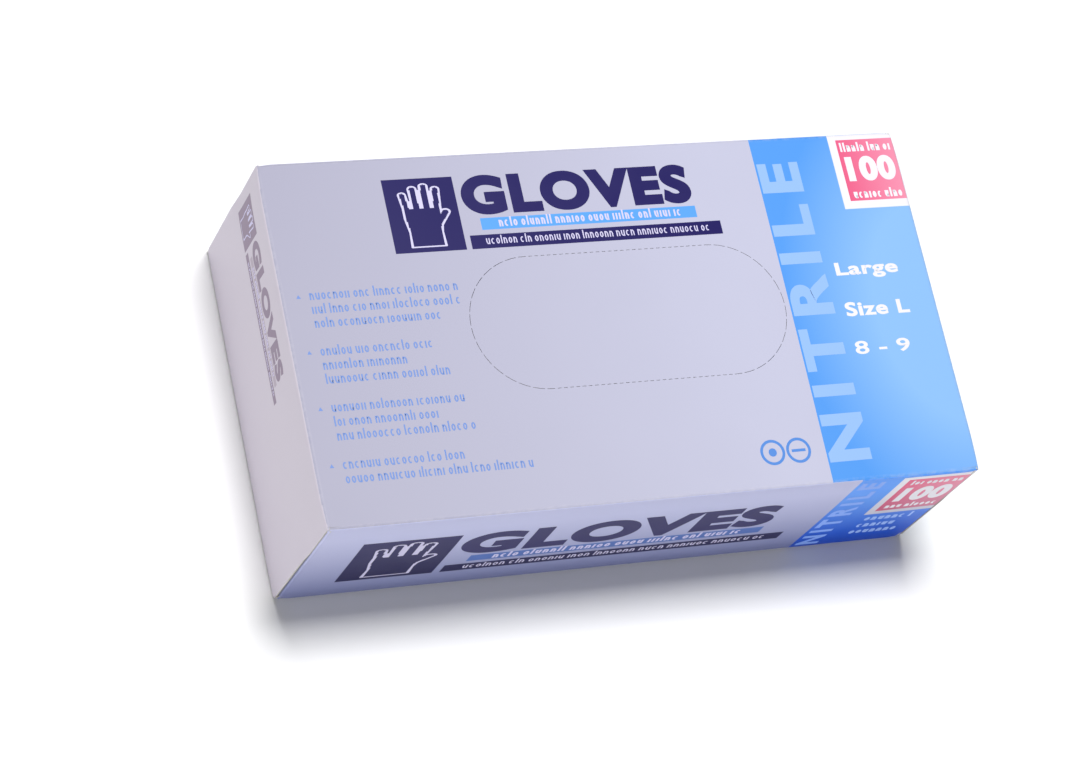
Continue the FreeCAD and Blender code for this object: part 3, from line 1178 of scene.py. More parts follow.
@dataclass
class CartonEnd:
    """The flaps that close one end, their folds and the glue between them."""

    end: End
    sizes: CartonSizes
    finishes: Finishes

    def build(self) -> None:
        """Builds every flap and fold of this end."""
        self.outer_flap()
        self.outer_fold()
        self.inner_flap()
        self.inner_fold()
        for side in Side:
            self.dust_flap(side)
            self.dust_fold(side)
        self.glue()

    @property
    def print_face(self) -> Face:
        """The printed face at this end."""
        return Face.LEFT_END if self.end is End.LEFT else Face.RIGHT_END

    def _name(self, word: str) -> str:
        """A piece or body name at this end."""
        return f"{self.end.word}_{word}"

    def _flap(self, outline: Callable[[Vector], Vector], steps: tuple[int, int], word: str,
              materials: list[bpy.types.Material]) -> None:
        """Builds a flap from a grid in its own plane.

        Args:
            outline: Puts a point of the unit grid into space.
            steps: Faces across and up.
            word: The flap's name without its end.
            materials: Outside, inside and edge.
        """
        bm = bmesh.new()
        bmesh.ops.create_grid(bm, x_segments=steps[0], y_segments=steps[1], size=1.0)
        place(bm.verts, outline)
        face_out(bm, Vector((self.end.value, 0, 0)))
        thicken(bm, self.sizes.board)
        piece = finish_piece(bm, self._name(word) + "_sheet", materials)
        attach(piece, self._name(word))
        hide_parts(self._name(word))

    def outer_flap(self) -> None:
        """The printed flap that covers the whole end."""
        s = self.sizes
        low, high = (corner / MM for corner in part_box(self._name("outer_flap")))
        half, bottom, top = high.y, low.z, s.height - s.end_fold

        def outline(c: Vector) -> Vector:
            """Puts a point of the unit grid on the flap."""
            z = bottom + (top - bottom) * (c.y + 1) / 2
            trim = 0.7 * max(0.0, 1 - (z - bottom) / 2.0) ** 2
            y = c.x * (half - trim)
            return Vector((self.end.value * (s.half_l + s.end_lean(y, z)), y, z))

        self._flap(outline, (36, 34), "outer_flap", self.finishes.board(self.print_face))

    def inner_flap(self) -> None:
        """The plain flap that folds up behind the outer one."""
        s = self.sizes
        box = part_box(self._name("inner_flap"))
        half, bottom, top = box[1][1] / MM, s.inner_fold, box[1][2] / MM

        def outline(c: Vector) -> Vector:
            """Puts a point of the unit grid on the flap."""
            z = bottom + (top - bottom) * (c.y + 1) / 2
            trim = 3.0 * max(0.0, 1 - (top - z) / 4.0) ** 2
            return Vector((self.end.value * s.inner_skin, c.x * (half - trim), z))

        self._flap(outline, (28, 24), "inner_flap", self.finishes.lining)

    def dust_flap(self, side: Side) -> None:
        """A tapered flap folded in from a long side."""
        s = self.sizes
        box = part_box(self._name(side.word + "_dust_flap"))
        low, high = box[0] / MM, box[1] / MM
        root = s.half_w - s.dust_fold
        tip = min(abs(low.y), abs(high.y))
        taper = (root - tip) * math.tan(math.radians(15.0))
        bottom, top = low.z + 0.3, high.z - 1.0

        def outline(c: Vector) -> Vector:
            """Puts a point of the unit grid on the flap."""
            share = (c.x + 1) / 2
            y = root + (tip - root) * share
            cut = taper * share + 4.0 * max(0.0, 1 - (y - tip) / 5.0) ** 2
            z_low, z_high = bottom + cut, top - cut
            return Vector((self.end.value * s.dust_skin, side.value * y,
                           z_low + (z_high - z_low) * (c.y + 1) / 2))

        self._flap(outline, (26, 20), side.word + "_dust_flap", self.finishes.lining)

    def _fold(self, path: FoldedPath, low: float, high: float, steps: int,
              put: Callable[[Vector, float], Vector], word: str, flap: str,
              materials: list[bpy.types.Material], ends: tuple[Vector, Vector]) -> None:
        """Builds a strip of board that bends between the carton and a flap.

        Args:
            path: The fold's cross-section.
            low: Start along the fold line.
            high: End along the fold line.
            steps: Faces along the fold line.
            put: Puts a point of the cross-section into space.
            word: The piece's name without its end.
            flap: The flap's body; not used.
            materials: Outside, inside and edge.
            ends: Where the strip stops following the carton, and where it follows the flap.
        """
        bm = folded_sheet(path, low, high, steps, put)
        out = ends[0] + ends[1]
        face_out(bm, Vector((out.x, out.y, 0 if "dust" in word else
                                         out.z - self.sizes.height)))
        if len(materials) > 3:
            carry_print(bm)
        thicken(bm, self.sizes.board)
        piece = finish_piece(bm, self._name(word), materials)
        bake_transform(piece)

    def outer_fold(self) -> None:
        """The fold between the top panel and the outer flap."""
        s, sign = self.sizes, self.end.value
        r = s.end_fold
        path = FoldedPath(((s.half_l - r, s.height), (s.half_l, s.height),
                           (s.half_l, s.height - r)), (0, r, 0), fold_steps=12)
        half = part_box(self._name("outer_flap"))[1][1] / MM

        def put(row: Vector, along: float) -> Vector:
            """Puts a point of the fold in place, following the flap's lean."""
            progress = (row.x - s.half_l + r) / r
            over = max(0.0, abs(along) - half + s.long_fold - 0.4)
            drop = s.long_fold - math.sqrt(max(0.0, s.long_fold ** 2 - over ** 2))
            lean = s.end_lean(along, s.height - r) * progress
            return Vector((sign * (row.x + lean), along, row.y - drop * (1 - progress)))

        self._fold(path, -half, half, 60, put, "outer_fold", self._name("outer_flap"),
                   self.finishes.board(self.print_face, True),
                   (Vector((sign * (s.half_l - r), 0, s.height)),
                    Vector((sign * s.half_l, 0, s.height - r))))

    def inner_fold(self) -> None:
        """The fold between the bottom panel and the inner flap."""
        s, sign = self.sizes, self.end.value
        r = s.inner_fold
        path = FoldedPath(((s.inner_skin - r, 0.0), (s.inner_skin, 0.0), (s.inner_skin, r)),
                          (0, r, 0), fold_steps=10)
        half = s.half_w - s.long_fold
        self._fold(path, -half, half, 40,
                   lambda row, along: Vector((sign * row.x, along, row.y)),
                   "inner_fold", self._name("inner_flap"), self.finishes.lining,
                   (Vector((sign * (s.inner_skin - r), 0, 0)),
                    Vector((sign * s.inner_skin, 0, r))))

    def dust_fold(self, side: Side) -> None:
        """The upright fold between a long side and its dust flap."""
        s, sign = self.sizes, self.end.value
        r = s.dust_fold
        path = FoldedPath(((s.dust_skin - r, s.half_w), (s.dust_skin, s.half_w),
                           (s.dust_skin, s.half_w - r)), (0, r, 0), fold_steps=8)
        face = Face.FRONT if side is Side.FRONT else Face.BACK
        word = side.word + "_dust_fold"
        self._fold(path, s.long_fold, s.height - s.long_fold, 24,
                   lambda row, along: Vector((sign * row.x, side.value * row.y, along)),
                   word, self._name(side.word + "_dust_flap"), self.finishes.board(face),
                   (Vector((sign * (s.dust_skin - r), side.value * s.half_w, 0)),
                    Vector((sign * s.dust_skin, side.value * (s.half_w - r), 0))))

    def glue(self) -> None:
        """Pressed patches of hot-melt glue on the inside of the outer flap."""
        s, sign = self.sizes, self.end.value
        bm = bmesh.new()
        middle = s.half_l - s.board - 0.1
        for column, y in enumerate((-42.0, 0.0, 42.0)):
            for row, z in enumerate((12.0, 32.0)):
                made = bmesh.ops.create_icosphere(bm, subdivisions=4, radius=1.0)["verts"]
                seed = column * 7.3 + row * 3.1
                for vert in made:
                    c = vert.co
                    wave = 1 + 0.25 * noise.noise(Vector((c.y * 2 + seed, c.z * 2, seed)))
                    thin = max(-1.0, min(1.0, c.x * 2.2))
                    vert.co = Vector((sign * (middle + 0.08 * thin), y + 14.0 * c.y * wave,
                                      z + 2.2 * c.z * wave))
        bmesh.ops.recalc_face_normals(bm, faces=list(bm.faces))
        piece = finish_piece(bm, self._name("glue_patches"), [self.finishes.glue])
        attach(piece, self._name("outer_flap"))
        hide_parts(self._name("end_glue"))


# Printing that stands on the panels


class Sheet:
    """A thin layer of ink shapes on one face, gathered into one mesh."""

    DEPTH = 0.06
    PROUD = 0.035
    CUT = 6.0

    def __init__(self, face: Face, sizes: CartonSizes, place_: LogoPlace | None = None) -> None:
        """Starts an empty layer.

        Args:
            face: The face that it is printed on.
            sizes: The carton's sizes.
            place_: How the drawing is set on the face.
        """
        self.face = face
        self.sizes = sizes
        self.place = place_ or LogoPlace(0.0, 0.0, 1.0)
        self.bm = bmesh.new()

    def _set(self, verts: list[bmesh.types.BMVert]) -> None:
        """Scales flat drawing points to the face's own millimetres."""
        for vert in verts:
            x, y = self.place.point(vert.co.x, vert.co.y)
            vert.co = Vector((x, y, vert.co.z))

    def _raise(self, verts: list[bmesh.types.BMVert]) -> None:
        """Sets flat shapes on the face and turns them into closed plates of ink."""
        faces = faces_of(verts)
        self._set(verts)
        made = bmesh.ops.extrude_face_region(self.bm, geom=faces, use_keep_orig=True)["geom"]
        for item in made:
            if isinstance(item, bmesh.types.BMVert):
                item.co.z += self.DEPTH

    def bar(self, left: float, right: float, bottom: float, top: float) -> None:
        """Adds an upright rectangle."""
        made = bmesh.ops.create_grid(self.bm, x_segments=1, y_segments=1, size=1.0)["verts"]
        for vert in made:
            y = bottom + (top - bottom) * (vert.co.y + 1) / 2
            x = left + (right - left) * (vert.co.x + 1) / 2
            vert.co = Vector((x, y, 0))
        self._raise(made)

    def ring(self, x: float, y: float, radius: float, line: float, segments: int = 40) -> None:
        """Adds a ring of a given line width."""
        bm = self.bm
        rims = []
        for reach in (radius, radius - line):
            rims.append(bmesh.ops.create_circle(bm, segments=segments, radius=reach)["verts"])
        for vert in rims[0] + rims[1]:
            vert.co += Vector((x, y, 0))
        edges = list({edge for rim in rims for vert in rim for edge in vert.link_edges})
        bmesh.ops.bridge_loops(bm, edges=edges)
        self._raise(rims[0] + rims[1])

    def take(self, bm: bmesh.types.BMesh) -> None:
        """Adds a flat drawing made elsewhere, and frees it."""
        mesh = bpy.data.meshes.new("drawing")
        bm.to_mesh(mesh)
        bm.free()
        before = set(self.bm.verts)
        self.bm.from_mesh(mesh)
        bpy.data.meshes.remove(mesh)
        verts = [vert for vert in self.bm.verts if vert not in before]
        self._raise(verts)

    def arc(self, middle: tuple[float, float], reach: tuple[float, float], line: float,
            turn: tuple[float, float], steps: int = 7) -> None:
        """Adds a bent stroke.

        Args:
            middle: Centre of the bend.
            reach: Outer half width and half height.
            line: Width of the stroke.
            turn: Start and end, in degrees.
            steps: Faces along it.
        """
        made = bmesh.ops.create_grid(self.bm, x_segments=steps, y_segments=1, size=1.0)["verts"]
        for vert in made:
            angle = math.radians(turn[0] + (turn[1] - turn[0]) * (vert.co.x + 1) / 2)
            inset = line * (1 - vert.co.y) / 2
            vert.co = Vector((middle[0] + (reach[0] - inset) * math.cos(angle),
                              middle[1] + (reach[1] - inset) * math.sin(angle), 0))
        self._raise(made)

    def disc(self, x: float, y: float, radius: float, segments: int = 24) -> None:
        """Adds a filled disc."""
        made = bmesh.ops.create_circle(self.bm, segments=segments, radius=radius,
                                       cap_ends=True)["verts"]
        for vert in made:
            vert.co += Vector((x, y, 0))
        self._raise(made)

    def word(self, text: str, left: float, right: float, bottom: float, top: float,
             weight: float = 0.0, upward: bool = False, spacing: float = 1.0) -> None:
        """Adds a plain word that fills a rectangle.

        Args:
            text: The word.
            left: Left side of the rectangle.
            right: Right side.
            bottom: Bottom.
            top: Top.
            weight: How much fatter than the plain typeface it is.
            upward: True if it reads from bottom to top.
            spacing: How far apart its letters stand.
        """
        curve = bpy.data.curves.new("lettering", "FONT")
        curve.body = text
        curve.space_character = spacing + 2.2 * weight
        holder = bpy.data.objects.new("lettering", curve)
        bpy.context.scene.collection.objects.link(holder)
        graph = bpy.context.evaluated_depsgraph_get()
        mesh = bpy.data.meshes.new_from_object(holder.evaluated_get(graph))
        before = set(self.bm.verts)
        self.bm.from_mesh(mesh)
        verts = [vert for vert in self.bm.verts if vert not in before]
        bpy.data.objects.remove(holder)
        bpy.data.meshes.remove(mesh)
        bpy.data.curves.remove(curve)
        bmesh.ops.remove_doubles(self.bm, verts=verts, dist=1e-5)
        verts = [vert for vert in self.bm.verts if vert not in before]
        self._embolden(verts, weight)
        if upward:
            for vert in verts:
                vert.co = Vector((-vert.co.y, vert.co.x, 0))
        lows = [min(vert.co[i] for vert in verts) for i in range(2)]
        highs = [max(vert.co[i] for vert in verts) for i in range(2)]
        for vert in verts:
            shares = [(vert.co[i] - lows[i]) / (highs[i] - lows[i]) for i in range(2)]
            vert.co = Vector((left + (right - left) * shares[0],
                              bottom + (top - bottom) * shares[1], 0))
        self._raise(verts)

    @staticmethod
    def _embolden(verts: list[bmesh.types.BMVert], weight: float) -> None:
        """Moves the outline of flat letters outwards.

        Args:
            verts: The letters' points.
            weight: How far to move.
        """
        pushes, notches = [], []
        for vert in verts:
            outs, ways = [], []
            for edge in vert.link_edges:
                if len(edge.link_faces) != 1:
                    continue
                along = (edge.verts[1].co - edge.verts[0].co).normalized()
                out = Vector((along.y, -along.x, 0))
                middle = (edge.verts[0].co + edge.verts[1].co) / 2
                inside = edge.link_faces[0].calc_center_median() - middle
                outs.append(-out if inside.dot(out) > 0 else out)
                ways.append(edge.other_vert(vert).co - vert.co)
            if len(outs) == 2:
                notch = (ways[0] + ways[1]).dot(outs[0] + outs[1]) > 0
                spread = max(0.15 if notch else 0.6, 1 + outs[0].dot(outs[1]))
                pushes.append((vert, (outs[0] + outs[1]) * (weight / spread)))
                if notch and outs[0].dot(outs[1]) < 0.3:
                    notches.append(pushes[-1])
        for tip, tip_push in notches:
            across = Vector((-tip_push.y, tip_push.x, 0)).normalized()
            for vert, push in pushes:
                gap = vert.co - tip.co
                before, after = gap.dot(across), (gap + push).dot(across)
                if 0 < gap.length < 3 * weight and before * after < 0:
                    push -= across * after
        for vert, push in pushes:
            vert.co += push

    def mock_line(self, left: float, right: float, bottom: float, height: float,
                  seed: int, stroke: float = 0.42) -> None:
        """Adds a line of small strokes that stands for fine print without being letters.

        Args:
            left: Where the line starts.
            right: Where it ends.
            bottom: Its base line.
            height: Height of a low stroke.
            seed: Seed of the line's rhythm.
            stroke: Width of a stroke.
        """
        rng = random.Random(seed)
        x, left_in_word = left, rng.randint(3, 8)
        half_w, half_h = 0.30 * height, height / 2
        while x + 2 * half_w < right:
            kind = rng.choice(("bowl", "bowl", "arch", "arch", "cup", "hook", "stem", "tall"))
            middle = (x + half_w, bottom + half_h)
            wide = 2 * half_w
            if kind == "bowl":
                self.arc(middle, (half_w, half_h), stroke, (0, 360), 10)
            elif kind == "hook":
                self.arc(middle, (half_w, half_h), stroke, (50, 310), 8)
            elif kind == "arch":
                self.bar(x, x + stroke, bottom, bottom + height)
                self.arc((x + half_w, bottom + 0.45 * height), (half_w, 0.55 * height), stroke,
                         (150, 0), 5)
                self.bar(x + wide - stroke, x + wide, bottom, bottom + 0.45 * height)
            elif kind == "cup":
                self.bar(x, x + stroke, bottom + 0.45 * height, bottom + height)
                self.arc((x + half_w, bottom + 0.45 * height), (half_w, 0.45 * height), stroke,
                         (180, 360), 5)
                self.bar(x + wide - stroke, x + wide, bottom, bottom + height)
            else:
                tall = 1.45 if kind == "tall" else 1.0
                self.bar(x, x + stroke, bottom, bottom + tall * height)
                wide = stroke
            x += wide + 0.22 * height
            left_in_word -= 1
            if left_in_word <= 0:
                x += 0.35 * height
                left_in_word = rng.randint(3, 8)

    def finish(self, name: str, material: bpy.types.Material, body: str) -> bpy.types.Object:
        """Places the layer on its face and lets it ride.

        Args:
            name: The piece's name.
            material: Its ink.
            body: The body it rides on.

        Returns:
            The piece.
        """
        bm, s = self.bm, self.sizes
        self._divide()
        bmesh.ops.recalc_face_normals(bm, faces=list(bm.faces))
        sunk = self.DEPTH - self.PROUD
        lift = Matrix.Translation((0, 0, -sunk))
        bmesh.ops.transform(bm, matrix=self.face.matrix(s) @ lift, verts=list(bm.verts))
        for vert in bm.verts:
            vert.co += self._swell(vert.co)
        piece = finish_piece(bm, name, [material])
        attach(piece, body)
        return piece

    def _divide(self) -> None:
        """Cuts large letters along a grid, so that they can follow the swollen board."""
        for axis in (Vector((1, 0, 0)), Vector((0, 1, 0))):
            places = [vert.co.dot(axis) for vert in self.bm.verts]
            at = math.ceil(min(places) / self.CUT) * self.CUT
            while at < max(places):
                geom = [*self.bm.verts, *self.bm.edges, *self.bm.faces]
                bmesh.ops.bisect_plane(self.bm, geom=geom, dist=1e-5, plane_co=axis * at,
                                       plane_no=axis)
                at += self.CUT

    def _swell(self, spot: Vector) -> Vector:
        """How far the board stands out at a point of this face."""
        s = self.sizes
        out = Vector(self.face.value[2])
        if self.face is Face.TOP:
            return out * s.rise(spot.x, spot.y)
        if self.face in (Face.FRONT, Face.BACK):
            return out * s.side_swell(spot.x, spot.z)
        if self.face in (Face.LEFT_END, Face.RIGHT_END):
            return out * s.end_lean(spot.y, spot.z)
        return Vector()


@dataclass
class Artwork:
    """All the printing that isn't a plain rectangle."""

    sizes: CartonSizes
    finishes: Finishes

    def build(self) -> None:
        """Prints every face."""
        self.title(Face.TOP, TOP_TITLE, "top", "carton", "navy", PALETTE.navy)
        self.title(Face.FRONT, SIDE_TITLE, "front", "carton", "navy", PALETTE.navy)
        self.title(Face.BACK, BACK_TITLE, "back", "carton", "navy", PALETTE.navy)
        self.title(Face.LEFT_END, END_TITLE, "left_end", "left_outer_flap", "glare_washed_navy",
                   PALETTE.glare_washed_navy)
        self.top_face()
        self.side_face(Face.FRONT, "front", 75.6, 91.0)
        self.side_face(Face.BACK, "back", -85.6, -119.9)
        self.right_end()

    def title(self, face: Face, block: TitleBlock, word: str, body: str, ink: str,
              colour: Colour) -> None:
        """Prints the title word, the pictogram and the fine print of the bars."""
        dark = Sheet(face, self.sizes, block.place)
        dark.word("GLOVES", -49.5, 35.8, 42.0, 57.0, 0.06)
        dark.finish(word + "_title_word", self.finishes.ink(ink, colour), body)
        light = Sheet(face, self.sizes, block.place)
        self.pictogram(light)
        light.mock_line(-38.0, 30.0, 37.3, 2.5, 3, 0.62)
        light.mock_line(-44.0, 40.0, 31.0, 2.2, 5, 0.42)
        pale = self.finishes.ink("title_light", srgb(206, 202, 232))
        light.finish(word + "_title_lines", pale, body)

    def pictogram(self, sheet: Sheet) -> None:
        """A plain upright glove in outline, of the builder's own drawing."""
        bm, shape = bmesh.new(), GloveShape()
        shape.cut_out(bm, 2.4)
        bmesh.ops.inset_region(bm, faces=list(bm.faces), thickness=5.4, use_even_offset=True)
        inner = [f for f in bm.faces if shape.distance(*f.calc_center_median().xy) < -5.0]
        bmesh.ops.delete(bm, geom=inner, context="FACES")
        place(bm.verts, lambda c: Vector((-64.0 - 0.155 * (c.y + 3.5), 43.2 + 0.104 * c.x, 0)))
        sheet.take(bm)

    def top_face(self) -> None:
        """The band's words, the count, the sizes, the notes and the rings on the top."""
        f, s = self.finishes, self.sizes
        band = Sheet(Face.TOP, s)
        band.word("NITRILE", 63.2, 79.3, -58.0, 55.5, 0.04, True, 1.3)
        band.finish("top_band_word", f.ink("band_word", PALETTE.band_word), "carton")
        white = Sheet(Face.TOP, s)
        white.word("100", 98.2, 117.6, 46.6, 56.4, 0.06)
        white.mock_line(97.6, 118.8, 58.4, 2.5, 11, 0.75)
        white.mock_line(98.4, 118.8, 40.0, 2.5, 12, 0.75)
        white.word("Large", 83.4, 108.0, 9.2, 15.6, 0.035)
        white.word("Size L", 83.4, 108.5, -5.0, 0.4, 0.035)
        white.word("8 - 9", 83.4, 105.0, -19.4, -14.4, 0.02)
        white.finish("top_white_print", f.ink("white", PALETTE.white), "carton")
        notes = Sheet(Face.TOP, s)
        for block, y in enumerate((15.0, -5.0, -25.0, -45.0)):
            notes.disc(-113.8, y + 1.2, 0.9, 3)
            ends = ((-57.0, -56.0, -64.0), (-70.0, -80.0, -66.0), (-62.0, -72.0, -60.0),
                    (-66.0, -44.5))[block]
            for line, end in enumerate(ends):
                notes.mock_line(-110.0, end, y - 5.0 * line, 2.5, 20 + 5 * block + line, 0.5)
        notes.finish("top_notes", f.ink("pale_notes", PALETTE.pale_ink), "carton")
        rings = Sheet(Face.TOP, s)
        rings.ring(42.6, -52.5, 4.6, 1.0)
        rings.disc(42.6, -52.5, 1.5)
        rings.ring(52.4, -52.5, 4.6, 1.0)
        rings.bar(49.8, 55.0, -53.0, -52.0)
        rings.finish("top_rings", f.ink("mid_blue", PALETTE.mid_blue), "carton")

    def side_face(self, face: Face, word: str, left: float, label: float) -> None:
        """The band's word, the count and the fine print on a long side.

        Args:
            face: The side.
            word: The side's name in piece names.
            left: Left edge of the band's word.
            label: Left edge of the count label.
        """
        f, s = self.finishes, self.sizes
        band = Sheet(face, s)
        band.word("NITRILE", left, left + 9.0, 3.0, 65.5, 0.04, True, 1.3)
        band.finish(word + "_band_word", f.ink("side_word", PALETTE.side_word), "carton")
        white = Sheet(face, s)
        white.word("100", label + 5.6, label + 25.6, 42.8, 56.4, 0.06)
        white.mock_line(label + 5.4, label + 26.4, 59.4, 2.8, 31, 0.85)
        white.mock_line(label + 5.4, label + 26.4, 36.4, 2.8, 32, 0.85)
        white.finish(word + "_white_print", f.ink("white", PALETTE.white), "carton")
        lines = Sheet(face, s)
        for row, z in enumerate((24.5, 17.5, 10.5)):
            lines.mock_line(label + 2.5, label + 23.0 - 3 * (row % 2), z, 3.4, 40 + row, 0.95)
        lines.finish(word + "_band_lines", f.ink("side_lines", PALETTE.side_lines), "carton")

    def right_end(self) -> None:
        """The size and the count on the banded end."""
        f, s = self.finishes, self.sizes
        white = Sheet(Face.RIGHT_END, s)
        white.word("LARGE", -45.0, 0.0, 26.0, 42.0, weight=0.05)
        white.word("100", 18.0, 45.0, 26.0, 42.0, weight=0.06)
        white.mock_line(-45.0, 45.0, 18.0, 2.2, 51, 0.55)
        white.finish("right_end_white_print", f.ink("white", PALETTE.white),
                     "right_outer_flap")


# Gloves


@dataclass(frozen=True)
class GloveShape:
    """One flattened glove, cuff at -X and fingers at +X."""

    length: float = 230.0
    cuff_half: float = 42.0
    wrist_half: float = 40.0
    palm_half: float = 46.0
    wrist_x: float = -62.0
    knuckle_x: float = 28.0
    fingers: tuple = (
        ((20.0, -34.5), (91.0, -39.0), 22.5),
        ((20.0, -11.5), (102.5, -13.0), 23.5),
        ((20.0, 11.8), (95.0, 14.0), 23.0),
        ((20.0, 34.8), (75.0, 40.0), 21.0),
        ((-48.0, -24.0), (8.0, -53.0), 25.0),
    )
    side_shift: float = 6.5

    def distance(self, x: float, y: float) -> float:
        """Signed distance to the outline, below nought inside.

        Args:
            x: Place along the glove.
            y: Place across it.

        Returns:
            The distance in millimetres.
        """
        nearest = self._palm(x, y)
        for (bx, by), (tx, ty), width in self.fingers:
            ax, ay = tx - bx, ty - by
            share = max(0.0, min(1.0, ((x - bx) * ax + (y - by) * ay) / (ax * ax + ay * ay)))
            gap = math.hypot(x - bx - ax * share, y - by - ay * share) - width / 2
            nearest = min(nearest, gap)
        return nearest

    def _palm(self, x: float, y: float) -> float:
        """Signed distance to the palm and cuff, good enough near their edges."""
        start = -self.length / 2
        if x < self.wrist_x:
            share = (x - start) / (self.wrist_x - start)
            half = self.cuff_half + (self.wrist_half - self.cuff_half) * share
        else:
            share = min(1.0, (x - self.wrist_x) / (-10.0 - self.wrist_x))
            half = self.wrist_half + (self.palm_half - self.wrist_half) * share
        return max(abs(y) - half, start - x, x - self.knuckle_x)

    def template(self, pitch: float, film: float) -> bpy.types.Mesh:
        """The flat glove as a closed, thin mesh.

        Args:
            pitch: Size of its faces.
            film: Thickness of the two walls and the air between them.

        Returns:
            The mesh, lying at height nought.
        """
        bm = bmesh.new()
        self.cut_out(bm, pitch)
        face_out(bm, UP)
        thicken(bm, film, 0, 0)
        bmesh.ops.translate(bm, vec=(0, self.side_shift, film), verts=list(bm.verts))
        mesh = bpy.data.meshes.new("glove_template")
        bm.to_mesh(mesh)
        bm.free()
        return mesh

    def cut_out(self, bm: bmesh.types.BMesh, pitch: float) -> None:
        """Adds the flat outline as a fine grid whose rim lies on the outline.

        Args:
            bm: The mesh to add to.
            pitch: Size of its faces.
        """
        along, across = round(self.length / pitch) + 2, round(134 / pitch)
        bmesh.ops.create_grid(bm, x_segments=along, y_segments=across, size=1.0)
        place(bm.verts, lambda c: Vector((c.x * along * pitch / 2, c.y * across * pitch / 2, 0)))
        outside = [v for v in bm.verts if self.distance(v.co.x, v.co.y) > 0.45 * pitch]
        bmesh.ops.delete(bm, geom=outside, context="VERTS")
        for _ in range(2):
            for vert in [v for v in bm.verts if v.is_boundary or not v.link_faces]:
                vert.co -= self._slope(vert.co) * self.distance(vert.co.x, vert.co.y)
        loose = [v for v in bm.verts if not v.link_faces]
        bmesh.ops.delete(bm, geom=loose, context="VERTS")

    def _slope(self, spot: Vector) -> Vector:
        """The direction straight out of the outline near a point."""
        step = 0.2
        dx = self.distance(spot.x + step, spot.y) - self.distance(spot.x - step, spot.y)
        dy = self.distance(spot.x, spot.y + step) - self.distance(spot.x, spot.y - step)
        slope = Vector((dx, dy, 0))
        return slope.normalized() if slope.length > 1e-6 else Vector()


@dataclass
class GloveStack:
    """Ninety-nine flattened gloves, packed in ten layers, under the top glove."""

    finishes: Finishes
    shape: GloveShape = GloveShape()
    layers: int = 10
    per_layer: int = 10
    floor: float = 0.95
    pitch: float = 0.60
    film: float = 0.46
    body: str = "carton"

    def build(self) -> None:
        """Builds the layers."""
        coarse = self.shape.template(4.0, self.film)
        for layer in range(self.layers):
            self.layer(layer, coarse)

    def crumple(self, x: float, y: float, z: float) -> float:
        """How far the pile is pushed up or down at a place; it changes slowly with height."""
        share = min(1.0, max(0.0, z / 14.0))
        wide = 1.5 * noise.noise(Vector((x / 34, y / 26, z / 30)))
        fine = 0.45 * noise.noise(Vector((x / 9, y / 8, z / 12 + 4.0)))
        return (wide + fine) * share

    def layer(self, layer: int, template: bpy.types.Mesh) -> None:
        """Ten gloves, turned end for end by turns; the hundredth is the top glove.

        Args:
            layer: Number of the layer from the bottom.
            template: The flat glove.
        """
        bm = bmesh.new()
        spare = 1 if layer == self.layers - 1 else 0
        for step in range(self.per_layer - spare):
            index = layer * self.per_layer + step
            before = set(bm.verts)
            bm.from_mesh(template)
            verts = [vert for vert in bm.verts if vert not in before]
            turn = math.radians(0.8 * math.sin(1.1 * index) + 180.0 * (index % 2))
            shift = (1.2 * math.sin(2.4 * index), 1.0 * math.cos(1.7 * index),
                     self.floor + index * self.pitch)
            bmesh.ops.transform(bm, matrix=Matrix.Translation(shift)
                                @ Matrix.Rotation(turn, 4, "Z"), verts=verts)
        place(bm.verts, lambda c: Vector((c.x, c.y, max(0.6, c.z + self.crumple(c.x, c.y, c.z)))))
        node = f"glove_layer_{layer + 1:02d}"
        piece = finish_piece(bm, f"gloves_{layer + 1:02d}", [self.finishes.nitrile], 60.0)
        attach(piece, self.body)
        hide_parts(node)


